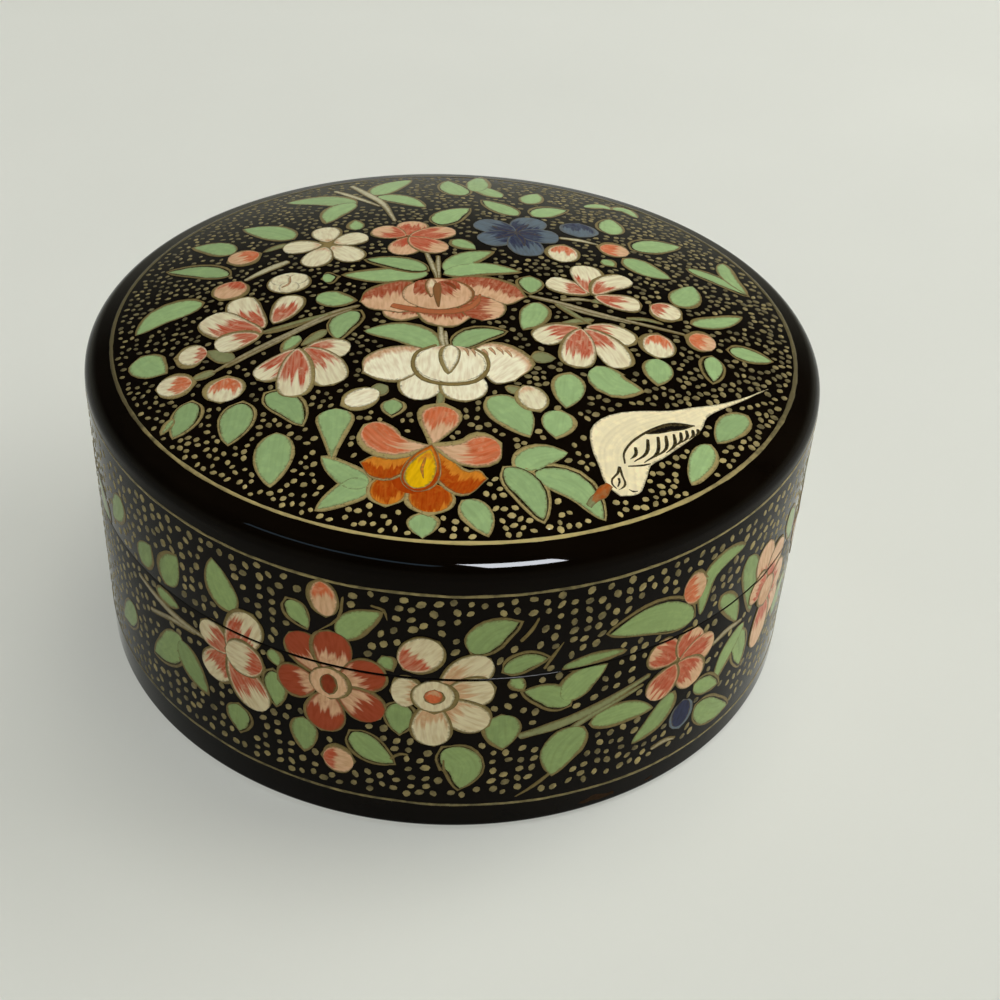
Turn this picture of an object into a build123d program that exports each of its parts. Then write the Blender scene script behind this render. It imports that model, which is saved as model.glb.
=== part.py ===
from build123d import *
import os
from math import sqrt

os.makedirs("parts", exist_ok=True)

# A round lidded trinket box of papier mache.
# Millimetres, +Z up. The origin is the middle of the underside, and +Z is the axis of the tube.
# The tube is rolled pasteboard, cut in two at the seam once it is dry. A disc is let into the foot
# of the lower ring, a domed crown is set on the upper ring, and a thin inner strip, glued inside
# the base, stands up past the seam and locates the lid.

# ---- outside ----
BOX_DIAMETER = 90.0
BASE_HEIGHT = 24.0  # table to seam
LID_WALL_HEIGHT = 12.0  # seam to the seat of the crown
CROWN_EDGE_HEIGHT = 3.3  # seat of the crown to the corner that the shoulder rounds off
DOME_RISE = 6.3  # that corner to the top of the dome
SHOULDER_RADIUS = 2.2
FOOT_BEVEL = 0.9  # rubbed-down bottom edge
SEAM_BEVEL = 0.25  # on each of the two outer edges that meet at the seam

# ---- board thicknesses ----
WALL_THICKNESS = 2.8
FLOOR_THICKNESS = 2.4
COLLAR_THICKNESS = 1.5
CROWN_THICKNESS = 2.6
SPIGOT_THICKNESS = 1.7

# ---- seats and fits ----
GLUE_GAP = 0.05  # round each glued curved joint
LID_CLEARANCE = 0.3  # collar to the inside of the lid, on the radius
FLOOR_LEDGE = 0.8  # how far the floor runs under the lower ring
SPIGOT_DEPTH = 2.0  # how far the crown reaches down inside the upper ring
COLLAR_STAND = 5.2  # how far the collar stands above the seam
COLLAR_BEVEL = 0.45  # on both edges of the collar's lip
LEAD_IN = 0.5  # bevel inside the mouth of the lid

# ---- places that follow from the sizes above ----
outer_radius = BOX_DIAMETER / 2
base_inner_radius = outer_radius - WALL_THICKNESS
collar_outer_radius = base_inner_radius - GLUE_GAP
collar_inner_radius = collar_outer_radius - COLLAR_THICKNESS
lid_inner_radius = collar_outer_radius + LID_CLEARANCE
rebate_radius = base_inner_radius + FLOOR_LEDGE
floor_radius = rebate_radius - GLUE_GAP
spigot_outer_radius = lid_inner_radius - GLUE_GAP
spigot_inner_radius = spigot_outer_radius - SPIGOT_THICKNESS

seam_z = BASE_HEIGHT
crown_seat_z = seam_z + LID_WALL_HEIGHT
crown_corner_z = crown_seat_z + CROWN_EDGE_HEIGHT
dome_top_z = crown_corner_z + DOME_RISE
spigot_bottom_z = crown_seat_z - SPIGOT_DEPTH
collar_top_z = seam_z + COLLAR_STAND

dome_radius = (outer_radius**2 + DOME_RISE**2) / (2 * DOME_RISE)
dome_centre_z = dome_top_z - dome_radius
underside_radius = dome_radius - CROWN_THICKNESS

# The shoulder is an arc that touches both the wall and the dome. Its middle is one shoulder radius
# in from each of them, and it runs into the dome where the line of the two middles comes out.
shoulder_middle_radius = outer_radius - SHOULDER_RADIUS
shoulder_middle_reach = dome_radius - SHOULDER_RADIUS
shoulder_middle_z = dome_centre_z + sqrt(shoulder_middle_reach**2 - shoulder_middle_radius**2)
dome_edge_radius = shoulder_middle_radius * dome_radius / shoulder_middle_reach
dome_edge_z = dome_centre_z + sqrt(dome_radius**2 - dome_edge_radius**2)


def turned(section: Face) -> Solid:
    """A closed half-section in the XZ plane, turned once round the axis of the box."""
    return revolve(section, axis=Axis.Z).solid()


def corner(section: Face, radius: float, height: float) -> ShapeList:
    """The vertex of a half-section that lies at this radius and height."""
    return ShapeList([section.vertices().sort_by_distance((radius, 0, height))[0]])


def ring_section(inner: float, outer: float, bottom: float, top: float) -> Face:
    """The cut through an upright ring of board."""
    outline = Polyline((inner, 0, bottom), (outer, 0, bottom), (outer, 0, top), (inner, 0, top), close=True)
    return make_face(outline).face()


def make_base_wall() -> Solid:
    """Lower ring of the tube, with a rebate in its foot for the floor."""
    section = make_face(
        Polyline(
            (rebate_radius, 0, 0),
            (outer_radius, 0, 0),
            (outer_radius, 0, seam_z),
            (base_inner_radius, 0, seam_z),
            (base_inner_radius, 0, FLOOR_THICKNESS),
            (rebate_radius, 0, FLOOR_THICKNESS),
            close=True,
        )
    ).face()
    section = chamfer(corner(section, outer_radius, 0), FOOT_BEVEL).face()
    section = chamfer(corner(section, outer_radius, seam_z), SEAM_BEVEL).face()
    return turned(section)


def make_base_floor() -> Solid:
    """Disc let into the foot of the lower ring, flush with its bottom edge."""
    return Solid.make_cylinder(floor_radius, FLOOR_THICKNESS)


def make_locating_collar() -> Solid:
    """Thin strip glued round the inside of the base. It stands on the floor and past the seam."""
    section = ring_section(collar_inner_radius, collar_outer_radius, FLOOR_THICKNESS, collar_top_z)
    for radius in (collar_inner_radius, collar_outer_radius):
        section = chamfer(corner(section, radius, collar_top_z), COLLAR_BEVEL).face()
    return turned(section)


def make_lid_wall() -> Solid:
    """Upper ring of the tube, eased inside so that it slips over the collar."""
    section = ring_section(lid_inner_radius, outer_radius, seam_z, crown_seat_z)
    section = chamfer(corner(section, outer_radius, seam_z), SEAM_BEVEL).face()
    section = chamfer(corner(section, lid_inner_radius, seam_z), LEAD_IN).face()
    return turned(section)


def disc_under_dome(radius: float, bottom: float, sphere_radius: float) -> Part:
    """Upright disc whose top is cut to a domed surface, the outside or the underside.

    The sphere lies on its side, which keeps its two poles off the dome.
    """
    disc = Cylinder(radius, dome_top_z - bottom, align=(Align.CENTER, Align.CENTER, Align.MIN))
    sphere = Sphere(sphere_radius, rotation=(0, 90, 0))
    return Pos(0, 0, bottom) * disc & Pos(0, 0, dome_centre_z) * sphere


def make_shoulder_rim() -> Solid:
    """Rim of the crown, from the outside wall to where the rounded shoulder runs into the dome."""
    wall_top = (outer_radius, 0, shoulder_middle_z)
    dome_edge = (dome_edge_radius, 0, dome_edge_z)
    shoulder = TangentArc(wall_top, dome_edge, tangent=(0, 0, 1))
    straight = Polyline(dome_edge, (dome_edge_radius, 0, crown_seat_z), (outer_radius, 0, crown_seat_z), wall_top)
    return turned(make_face(shoulder + straight).face())


def make_lid_crown() -> Solid:
    """Domed disc of even thickness. Its rim sits on the upper ring and its spigot inside it."""
    dome = disc_under_dome(dome_edge_radius, crown_seat_z, dome_radius)
    spigot = turned(ring_section(spigot_inner_radius, spigot_outer_radius, spigot_bottom_z, crown_seat_z))
    hollow = disc_under_dome(spigot_inner_radius, crown_seat_z, underside_radius)
    return (make_shoulder_rim() + dome + spigot - hollow).solid()


PIECES = {
    "base_wall": make_base_wall,
    "base_floor": make_base_floor,
    "locating_collar": make_locating_collar,
    "lid_wall": make_lid_wall,
    "lid_crown": make_lid_crown,
}

for name, make in PIECES.items():
    piece = make()
    piece.label = name
    export_step(piece, f"parts/{name}.step")
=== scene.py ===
from functools import cache
import math
import random

import bmesh
import bpy
from mathutils import Matrix, Vector


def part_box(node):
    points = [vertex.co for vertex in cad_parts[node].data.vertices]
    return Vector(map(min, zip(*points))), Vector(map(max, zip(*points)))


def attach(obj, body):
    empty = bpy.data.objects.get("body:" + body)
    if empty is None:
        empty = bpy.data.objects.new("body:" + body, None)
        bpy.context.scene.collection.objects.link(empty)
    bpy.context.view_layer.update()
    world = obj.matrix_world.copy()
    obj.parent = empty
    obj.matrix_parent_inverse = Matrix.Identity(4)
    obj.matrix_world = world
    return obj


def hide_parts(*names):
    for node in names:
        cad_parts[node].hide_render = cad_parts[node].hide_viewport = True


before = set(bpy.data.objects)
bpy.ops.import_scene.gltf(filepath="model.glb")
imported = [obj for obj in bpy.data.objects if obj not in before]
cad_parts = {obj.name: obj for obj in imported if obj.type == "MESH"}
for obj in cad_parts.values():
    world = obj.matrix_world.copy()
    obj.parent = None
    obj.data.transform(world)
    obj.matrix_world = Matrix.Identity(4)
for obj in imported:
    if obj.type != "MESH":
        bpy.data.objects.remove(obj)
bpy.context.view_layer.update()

bl_info = {
    "name": "Painted papier mache box",
    "version": (1, 0, 0),
    "blender": (4, 5, 0),
    "location": "3D View > Sidebar > Papier mache",
    "description": "Boards, lacquer, painted flowers, gold dots and stage of a round lidded box",
    "category": "Object",
}

BACKDROP = "DADCD4"
MM = 0.001

# The painting is laid out in millimetres on two sheets: the lid seen from above, x to the right and
# y to the back, and the wall unrolled, s to the right of the front and z up from the table.


# ---- sizes that come from the frame ----

def radii(node):
    """Least and greatest distance of a CAD node's corners from the axis, in metres."""
    distances = [math.hypot(v.co.x, v.co.y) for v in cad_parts[node].data.vertices]
    return min(distances), max(distances)


BASE_INNER, OUTER = radii("base_wall")
LID_INNER = radii("lid_wall")[0]
COLLAR_INNER, COLLAR_OUTER = radii("locating_collar")
FLOOR_RADIUS = radii("base_floor")[1]
FLOOR_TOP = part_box("base_floor")[1].z
COLLAR_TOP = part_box("locating_collar")[1].z
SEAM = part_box("base_wall")[1].z
CROWN_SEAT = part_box("lid_wall")[1].z
SPIGOT_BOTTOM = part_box("lid_crown")[0].z
DOME_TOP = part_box("lid_crown")[1].z
SHOULDER_TOP = CROWN_SEAT + 0.4 * (DOME_TOP - CROWN_SEAT)  # about where the dome begins


# ---- settings that a user would change ----

def length(name, description, millimetres):
    """A length setting, written here in millimetres."""
    return bpy.props.FloatProperty(
        name=name, description=description, default=millimetres * MM, unit="LENGTH", precision=5
    )


def colour(name, description, hex_value):
    """A colour setting, written here as the sRGB hex value that a painter would match."""
    return bpy.props.FloatVectorProperty(
        name=name, description=description, default=linear(hex_value)[:3], size=3,
        subtype="COLOR", min=0.0, max=1.0,
    )


def linear(hex_value):
    """Linear RGBA of an sRGB hex value such as 8FB27A."""
    parts = [int(hex_value[i:i + 2], 16) / 255 for i in (0, 2, 4)]
    return tuple(c / 12.92 if c <= 0.04045 else ((c + 0.055) / 1.055) ** 2.4 for c in parts) + (1.0,)


class BoardSizes(bpy.types.PropertyGroup):
    """Sizes of the boards that the frame's boxes don't tell."""
    dome_rise: length("Dome rise", "From the virtual corner of the shoulder to the top of the dome", 6.3)
    shoulder: length("Shoulder radius", "Rounding between the wall and the dome", 2.2)
    crown: length("Crown thickness", "Board of the domed crown", 2.6)
    spigot: length("Spigot thickness", "Ring of the crown that reaches inside the lid wall", 1.7)
    spigot_fillet: length("Spigot fillet", "Where the spigot turns into the underside", 1.0)
    foot: length("Foot rounding", "Rubbed-down bottom edge", 0.9)
    seam_edge: length("Seam edge", "Softened edges that meet at the seam", 0.12)
    collar_edge: length("Collar edge", "Rounded lip of the collar", 0.45)
    lead_in: length("Lead-in", "Bevel inside the mouth of the lid", 0.5)
    glue_gap: length("Glue gap", "Round each glued joint", 0.05)


class PaintSizes(bpy.types.PropertyGroup):
    """Sizes of brush strokes, and where the gold ring and lines lie."""
    outline: length("Outline", "How far the gold outline shows round a leaf or petal", 0.3)
    lid_coat: length("Lid coat", "How much each coat on the lid stands above the one below", 0.008)
    wall_coat: length("Wall coat", "The same on the wall, whose curve is tighter", 0.016)
    lid_dot: length("Lid dot", "Length of a gold dot on the lid", 0.82)
    lid_spacing: length("Lid dot spacing", "Least distance between the lid's dots", 0.89)
    wall_dot: length("Wall dot", "Length of a gold dot on the wall", 1.04)
    wall_spacing: length("Wall dot spacing", "Least distance between the wall's dots", 1.24)
    dot_clearance: length("Dot clearance", "From the middle of a dot to the nearest painted shape", 0.4)
    chipped: length("Chipped", "Paint that is rubbed off along each edge of the seam", 0.06)
    lid_ring: length("Lid ring", "Radius of the gold ring on the lid", 41.65)
    ring_width: length("Ring width", "Width of that ring", 0.56)
    lid_line: length("Lid line", "Height of the gold line under the shoulder", 35.8)
    lid_line_width: length("Lid line width", "Width of that line", 0.4)
    base_line: length("Base line", "Height of the gold line above the foot", 4.15)
    base_line_width: length("Base line width", "Width of that line", 0.38)
    gold_coat: length("Gold coat", "Thickness of the gold ring and lines", 0.09)


class PaintColours(bpy.types.PropertyGroup):
    """Colours of the paint pots."""
    ground: colour("Ground", "Lamp black under the varnish", "090502")
    gold: colour("Gold", "Bronze powder in gum, aged", "C6B47A")
    dull_gold: colour("Dull gold", "The same paint where it is thin and greyed", "625A40")
    outline: colour("Outline", "The same paint in the thin lines round leaves and petals", "8C7A4C")
    leaf: colour("Leaf", "Green of the leaves", "9CBA82")
    calyx: colour("Calyx", "Grey green of stalks and calyxes", "8D9268")
    stem: colour("Stem", "Pale stems", "ADA486")
    # the wall's leaf and cream are darker copies of the lid's: painted shade of the wall, which is lit less
    # than the lid, with a browner hue as well
    shaded_wall_leaf: colour("Shaded wall leaf", "The same green on the wall, browner, and darker as painted shade", "92A96F")
    cream: colour("Cream", "White of the petals, yellowed by varnish", "EEE8C6")
    shaded_wall_cream: colour("Shaded wall cream", "The same white on the wall, browner, and darker as painted shade", "E4D8B4")
    white: colour("White", "White of the lotus, laid thicker", "FFFADC")
    pale: colour("Pale stems", "Stems picked out in dirty white", "C6C0A0")
    beak: colour("Beak", "Orange of the beak", "B45A22")
    tan: colour("Tan", "Faint strokes in the white petals", "D3A67E")
    umber: colour("Umber", "Brown blade in the heart of the red lotus", "8C5E38")
    pink: colour("Pink", "Pale red of the petals", "E2BA95")
    salmon: colour("Salmon", "Light red of buds and clubs", "D87046")
    rust: colour("Rust", "Brown red of the crescent in the red lotus", "B36843")
    coral: colour("Coral", "Red of the petals", "C2583C")
    madder: colour("Madder", "Deeper red of the wall's flower and the red lotus", "A64C30")
    brick: colour("Brick", "Darkest red, in the hearts of flowers", "8E3C22")
    orange: colour("Orange", "Orange red of the front flower", "B4460F")
    amber: colour("Amber", "Lighter streaks of the front flower", "DC8A2C")
    yellow: colour("Yellow", "Heart of the front flower", "F4C212")
    slate: colour("Slate", "Blue grey petals", "63727F")
    navy: colour("Navy", "Strokes in the blue petals", "2F3450")
    bird: colour("Bird", "Cream of the bird", "F8ECC4")
    line: colour("Line", "Dark brush lines", "14120F")
    worn: colour("Worn board", "Board that shows through at the foot", "2E2216")


def settings(kind):
    """One of the groups of settings, as the sidebar shows it."""
    return getattr(bpy.context.scene, kind)


def pot(name):
    """Linear RGBA of one paint pot."""
    return tuple(getattr(settings("box_colours"), name)) + (1.0,)


# ---- materials ----

MIX_SHARE, MIX_BELOW, MIX_OVER, MIX_RESULT = 0, 6, 7, 2  # colour sockets of a Mix node
POOLED = (1.13, 1.12, 1.1, 1.0)  # what paint is multiplied by where it dried thick
THINNED = (0.84, 0.77, 0.7, 1.0)  # and where the dark ground shows through it
COMB_HAIRS = (0.8, 19.0, 1.0)  # hairs to a unit of the stroke map, so a comb stroke is about 0.5 mm wide


def add_node(tree, kind, inputs=(), give=0, **options):
    """Adds a node with its settings and links, and returns the output that is asked for, if it has any.

    inputs are values, or sockets to link, in the order of the node's sockets or by their names.
    """
    node = tree.nodes.new(kind)
    for name, value in options.items():
        setattr(node, name, value)
    for key, value in inputs.items() if isinstance(inputs, dict) else enumerate(inputs):
        if isinstance(value, bpy.types.NodeSocket):
            tree.links.new(value, node.inputs[key])
        else:
            node.inputs[key].default_value = value
    return node.outputs[give] if node.outputs else None


def noise(tree, period_mm, detail, seed, *limits, vector=None):
    """Blotches about period_mm across, on Object coordinates unless a vector is given.

    limits are the least and greatest noise that count, and what they become if not 0 and 1.
    """
    if vector is None:
        vector = add_node(tree, "ShaderNodeTexCoord", give="Object")
    blotches = add_node(tree, "ShaderNodeTexNoise", {
        "Vector": vector, "W": seed, "Scale": 1.0 / (period_mm * MM), "Detail": detail,
    }, noise_dimensions="4D")
    return add_node(tree, "ShaderNodeMapRange", (blotches, *limits)) if limits else blotches


def hairs(tree, scale, *limits):
    """Noise drawn out along the brush, so that it reads as the marks of single hairs."""
    stroke = add_node(tree, "ShaderNodeUVMap", uv_map="stroke")
    lanes = add_node(tree, "ShaderNodeMapping", {"Vector": stroke, "Scale": scale})
    marks = add_node(tree, "ShaderNodeTexNoise", {
        "Vector": lanes, "Scale": 1.0, "Detail": 1.5, "Roughness": 0.6,
    })
    return add_node(tree, "ShaderNodeMapRange", (marks, *limits))


def laid_over(tree, paint, *coats):
    """Paint with more coats over it: how much of each one shows, its colour, and how it blends."""
    for share, over, *blend in coats:
        sockets = {MIX_SHARE: share, MIX_BELOW: paint, MIX_OVER: over}
        blend_type = blend[0] if blend else "MIX"
        paint = add_node(tree, "ShaderNodeMix", sockets, MIX_RESULT, data_type="RGBA", blend_type=blend_type)
    return paint


def varnished(tree, paint, roughness, bump_mm=0.004, coat=1.0, coat_roughness=0.04):
    """Paint under clear varnish: a soft base and a sharp coat that is very slightly uneven."""
    uneven = add_node(tree, "ShaderNodeBump", {
        "Height": noise(tree, 2.4, 1.0, 7.0), "Strength": 0.35, "Distance": bump_mm * MM,
    })
    shader = add_node(tree, "ShaderNodeBsdfPrincipled", {
        "Base Color": paint, "Roughness": roughness, "Specular IOR Level": 0.0, "Normal": uneven,
        "Coat Weight": coat, "Coat Roughness": coat_roughness, "Coat IOR": 1.12, "Coat Normal": uneven,
        "Sheen Weight": 0.035, "Sheen Roughness": 0.35,
    })
    add_node(tree, "ShaderNodeOutputMaterial", {"Surface": shader})


def dry_edge(tree, paint):
    """Lets the dry, ragged edge of a stroke show the brown of the coat below."""
    edge = add_node(tree, "ShaderNodeAttribute", give="Fac", attribute_name="edge")
    grain = noise(tree, 0.3, 3.0, 10.0, 0.25, 0.75, -0.2, 0.16)
    inside = add_node(tree, "ShaderNodeMath", (edge, grain), operation="ADD")
    dry = add_node(tree, "ShaderNodeMapRange", (inside, 0.0, 0.22, 0.6, 0.0))
    return laid_over(tree, paint, (dry, laid_over(tree, pot("outline"), (0.5, pot("ground")))))


def fill_ground_lacquer(tree):
    """Lamp black ground, rubbed down and varnished: deep, with faint brown where the varnish pools."""
    base = laid_over(tree, pot("ground"), (noise(tree, 9.0, 3.0, 1.0, 0.35, 0.7), linear("0F0A05")))
    rubbed = noise(tree, 1.3, 4.0, 2.0, 0.3, 0.75, 0.42, 0.6)
    varnished(tree, base, rubbed, coat_roughness=0.03)


def fill_inner_lacquer(tree):
    """Inside of the box: black brushed on bare board, so brush marks show and the gloss is broken."""
    place = add_node(tree, "ShaderNodeTexCoord", give="Object")
    brushed = add_node(tree, "ShaderNodeMapping", {"Vector": place, "Scale": (1.0, 1.0, 14.0)})
    marks = noise(tree, 6.0, 4.0, 3.0, 0.4, 0.75, vector=brushed)
    base = laid_over(tree, linear("100E0C"), (marks, linear("221C16")))
    varnished(tree, base, 0.55, bump_mm=0.02, coat=0.4, coat_roughness=0.18)


def fill_flat_gouache(tree):
    """Opaque gouache in one colour a stroke: thinner and thicker in places, as a loaded brush leaves it."""
    paint = laid_over(
        tree, add_node(tree, "ShaderNodeAttribute", attribute_name="first_colour"),
        (hairs(tree, (1.6, 22.0, 1.0), 0.42, 0.75, 0.0, 0.16), pot("outline"), "MULTIPLY"),
        (noise(tree, 0.9, 3.0, 4.0, 0.46, 0.66), POOLED, "MULTIPLY"),
    )
    varnished(tree, dry_edge(tree, paint), 0.55)


def fill_petal_gouache(tree):
    """Two gouaches combed into each other with a fine brush, with stray hairs of both."""
    first = add_node(tree, "ShaderNodeAttribute", attribute_name="first_colour")
    second = add_node(tree, "ShaderNodeAttribute", attribute_name="second_colour")
    reach, inset, edge = (
        add_node(tree, "ShaderNodeAttribute", give="Fac", attribute_name=name)
        for name in ("reach", "inset", "edge")
    )
    along = add_node(tree, "ShaderNodeSeparateXYZ", (add_node(tree, "ShaderNodeUVMap", uv_map="stroke"),))
    comb = hairs(tree, COMB_HAIRS, 0.3, 0.7, 0.68, 1.36)
    front = add_node(tree, "ShaderNodeMath", (reach, comb), operation="MULTIPLY")
    behind = add_node(tree, "ShaderNodeMath", (along, front), operation="SUBTRACT")
    past_comb = add_node(tree, "ShaderNodeMapRange", (behind, -0.08, 0.05))
    beside = add_node(tree, "ShaderNodeMath", (edge, inset), operation="SUBTRACT")
    border = add_node(tree, "ShaderNodeMapRange", (beside, -0.12, 0.08, 0.8, 0.0))
    own = add_node(tree, "ShaderNodeMath", (past_comb, border), operation="MAXIMUM")
    # the first colour is laid thin in places, so that the petal's own colour comes through it
    veil = hairs(tree, (2.2, 26.0, 1.0), 0.4, 0.8, 0.0, 0.4)
    patches = noise(tree, 0.7, 3.0, 15.0, 0.5, 0.66, 0.0, 0.36)
    thin = add_node(tree, "ShaderNodeMath", (veil, patches), operation="MAXIMUM")
    shadow = hairs(tree, (3.0, 22.0, 2.0), 0.4, 0.68)
    paint = laid_over(tree, first, (thin, second), (own, second), (shadow, THINNED, "MULTIPLY"))
    varnished(tree, dry_edge(tree, paint), 0.55)


def fill_gold_paint(tree):
    """Bronze powder in gum under aged varnish: khaki more than gold, duller where it is thin, brighter where
    its tone carries a painted sheen.
    """
    tone = add_node(tree, "ShaderNodeAttribute", give="Fac", attribute_name="tone")
    patchy = add_node(tree, "ShaderNodeMath", (tone, noise(tree, 0.9, 3.0, 6.0)), operation="ADD")
    tone_and_sheen = add_node(tree, "ShaderNodeMapRange", (patchy, 0.7, 1.5))
    varnished(tree, laid_over(tree, pot("dull_gold"), (tone_and_sheen, pot("gold"))), 0.45)


def fill_outline_paint(tree):
    """The same bronze paint let down for thin outlines: browner, patchy where the brush ran dry, and painted
    toward bright gold on the front of the dome as a painted sheen.
    """
    place = add_node(tree, "ShaderNodeTexCoord", give="Object")
    axes = add_node(tree, "ShaderNodeSeparateXYZ", (place,)).node.outputs
    on_dome = add_node(tree, "ShaderNodeMapRange", (axes["Z"], SHOULDER_TOP - 2 * MM, SHOULDER_TOP))
    # painted sheen: on the front of the dome the outlines are painted toward bright gold, where the bronze
    # would catch the light
    front_sheen = add_node(tree, "ShaderNodeMapRange", (axes["Y"], -6 * MM, -30 * MM, 0.0, 0.6))
    fresh = add_node(tree, "ShaderNodeMath", (front_sheen, on_dome), operation="MULTIPLY")
    paint = laid_over(
        tree, pot("outline"),
        (noise(tree, 0.5, 3.0, 11.0, 0.3, 0.72, 0.0, 0.5), pot("dull_gold")), (fresh, pot("gold")),
        (noise(tree, 0.35, 2.0, 12.0, 0.58, 0.75), laid_over(tree, pot("outline"), (0.6, pot("ground")))),
    )
    varnished(tree, dry_edge(tree, paint), 0.5)


def fill_worn_board(tree):
    """Bare brown board at the foot, where the ground has rubbed away: matt, fibrous, ragged."""
    base = laid_over(tree, linear("3A2A1E"), (noise(tree, 0.35, 5.0, 8.0, 0.35, 0.7), pot("worn")))
    varnished(tree, base, 0.8, bump_mm=0.03, coat=0.1, coat_roughness=0.4)


def fill_table(tree):
    """Plain pale matt table top. It glows a little to the eye, and far off it runs into the backdrop."""
    base = laid_over(tree, linear("E4E6DE"), (noise(tree, 60.0, 2.0, 9.0, 0.3, 0.7), linear("EAECE4")))
    matt = {"Base Color": base, "Roughness": 0.9, "Specular IOR Level": 0.0}
    place = add_node(tree, "ShaderNodeTexCoord", give="Object")
    away = add_node(tree, "ShaderNodeVectorMath", (place,), "Value", operation="LENGTH")
    glow = add_node(tree, "ShaderNodeMapRange", (away, 0.25, 0.75, 0.5, 1.0))
    rays = add_node(tree, "ShaderNodeLightPath").node.outputs
    seen_rays = (rays["Is Camera Ray"], rays["Is Glossy Ray"])
    seen = add_node(tree, "ShaderNodeMath", seen_rays, operation="MAXIMUM")
    surface = add_node(tree, "ShaderNodeMixShader", (
        add_node(tree, "ShaderNodeMath", (glow, seen), operation="MULTIPLY"),
        add_node(tree, "ShaderNodeBsdfPrincipled", matt),
        add_node(tree, "ShaderNodeEmission", {"Color": linear(BACKDROP), "Strength": 1.0}),
    ))
    add_node(tree, "ShaderNodeOutputMaterial", {"Surface": surface})


MATERIALS = {
    "ground": ("black_ground_varnished", fill_ground_lacquer),
    "inside": ("inner_black_brushed", fill_inner_lacquer),
    "flat": ("flat_gouache_varnished", fill_flat_gouache),
    "petal": ("combed_petal_gouache", fill_petal_gouache),
    "gold": ("bronze_powder_paint", fill_gold_paint),
    "outline": ("thin_bronze_outline", fill_outline_paint),
    "worn": ("worn_board_fibres", fill_worn_board),
    "table": ("pale_matt_table", fill_table),
}


@cache
def finish(kind):
    """The material of that kind, made once."""
    name, fill = MATERIALS[kind]
    material = bpy.data.materials.new(name)
    material.use_nodes = True
    material.node_tree.nodes.clear()
    fill(material.node_tree)
    return material


# ---- turned boards ----

TURN_STEPS = 288
CORNER_STEPS = 5  # round a softened corner
FOOT_STEPS = 8
SHOULDER_STEPS = 14
DOME_STEPS = 26
UNDERSIDE_STEPS = 18
SHARP_ANGLE = math.radians(32)


def new_mesh(name, points, faces):
    """A mesh from its points and the corners of its faces."""
    mesh = bpy.data.meshes.new(name)
    mesh.from_pydata(points, [], faces)
    return mesh


def put(name, data):
    """A new object in the scene, at the origin."""
    thing = bpy.data.objects.new(name, data)
    bpy.context.scene.collection.objects.link(thing)
    return thing


def link(name, mesh, kind):
    """Puts a finished mesh in the scene, smooth but for its real edges."""
    mesh.polygons.foreach_set("use_smooth", [True] * len(mesh.polygons))
    mesh.set_sharp_from_angle(angle=SHARP_ANGLE)
    mesh.materials.append(finish(kind))
    return put(name, mesh)


def turned(name, profile, kind):
    """A closed half-section, radius and height in metres, turned round the axis of the box."""
    points = []
    rings = []
    for radius, z in profile:
        if radius < 1e-9:
            rings.append([len(points)])
            points.append((0.0, 0.0, z))
            continue
        rings.append(range(len(points), len(points) + TURN_STEPS))
        for step in range(TURN_STEPS):
            angle = math.tau * step / TURN_STEPS
            points.append((radius * math.cos(angle), radius * math.sin(angle), z))
    faces = faces_between(rings + rings[:1])
    return link(name, outward(new_mesh(name, points, faces)), kind)


def faces_between(rings):
    """Faces between each ring of points and the next. A ring may be a single point on the axis."""
    faces = []
    for a, b in zip(rings, rings[1:]):
        steps = max(len(a), len(b))
        if steps == 1:
            continue
        for step in range(steps):
            after = (step + 1) % steps
            corners = [a[step % len(a)], a[after % len(a)], b[after % len(b)], b[step % len(b)]]
            faces.append(list(dict.fromkeys(corners)))
    return faces


def outward(mesh):
    """Turns every face of a closed mesh outwards."""
    shell = bmesh.new()
    shell.from_mesh(mesh)
    bmesh.ops.recalc_face_normals(shell, faces=shell.faces)
    shell.to_mesh(mesh)
    shell.free()
    return mesh


def arc(centre, radius, start, end, steps):
    """Points of an arc in the half-section, angles in radians from the outward horizontal."""
    angles = [start + (end - start) * i / steps for i in range(steps + 1)]
    return [(centre[0] + radius * math.cos(a), centre[1] + radius * math.sin(a)) for a in angles]


def rounded(corner_point, radius, start, steps=CORNER_STEPS):
    """A quarter turn that softens a square corner. start is the angle at which it begins."""
    middle = start + math.pi / 4
    centre = (
        corner_point[0] - radius * math.sqrt(2) * math.cos(middle),
        corner_point[1] - radius * math.sqrt(2) * math.sin(middle),
    )
    return arc(centre, radius, start, start + math.pi / 2, steps)


class Dome:
    """The domed outside of the crown: a sphere cap and a shoulder that touches cap and wall."""

    def __init__(self):
        sizes = settings("board_sizes")
        self.shoulder = sizes.shoulder
        self.radius = (OUTER**2 + sizes.dome_rise**2) / (2 * sizes.dome_rise)
        self.centre = DOME_TOP - self.radius
        self.shoulder_at = OUTER - self.shoulder
        reach = self.radius - self.shoulder
        self.shoulder_z = self.centre + math.sqrt(reach**2 - self.shoulder_at**2)
        self.edge_angle = math.acos(self.shoulder_at / reach)

    def outside(self):
        """Half-section from the wall over the shoulder to the top of the dome."""
        middle_point = (self.shoulder_at, self.shoulder_z)
        shoulder = arc(middle_point, self.shoulder, 0.0, self.edge_angle, SHOULDER_STEPS)
        cap = arc((0.0, self.centre), self.radius, self.edge_angle, math.pi / 2, DOME_STEPS)
        return shoulder + cap[1:]

    def point(self, x, y, lift):
        """Point over the plan position x, y, that far off the dome, all in millimetres."""
        distance = math.hypot(x, y) * MM
        slope = math.asin(min(distance / self.radius, 1.0))
        reach = self.radius + lift * MM
        radial = reach * math.sin(slope)
        share = radial / distance if distance else 0.0
        return (x * MM * share, y * MM * share, self.centre + reach * math.cos(slope))


def wall_point(s, z, lift):
    """Point of the wall at arc s right of the front and height z, that far off it, in millimetres."""
    angle = s * MM / OUTER
    radius = OUTER + lift * MM
    return (radius * math.sin(angle), -radius * math.cos(angle), z * MM)


# ---- brush work ----
# A shape is a list of pairs of points, its left and right edge, that starts and ends in a single point.

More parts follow.
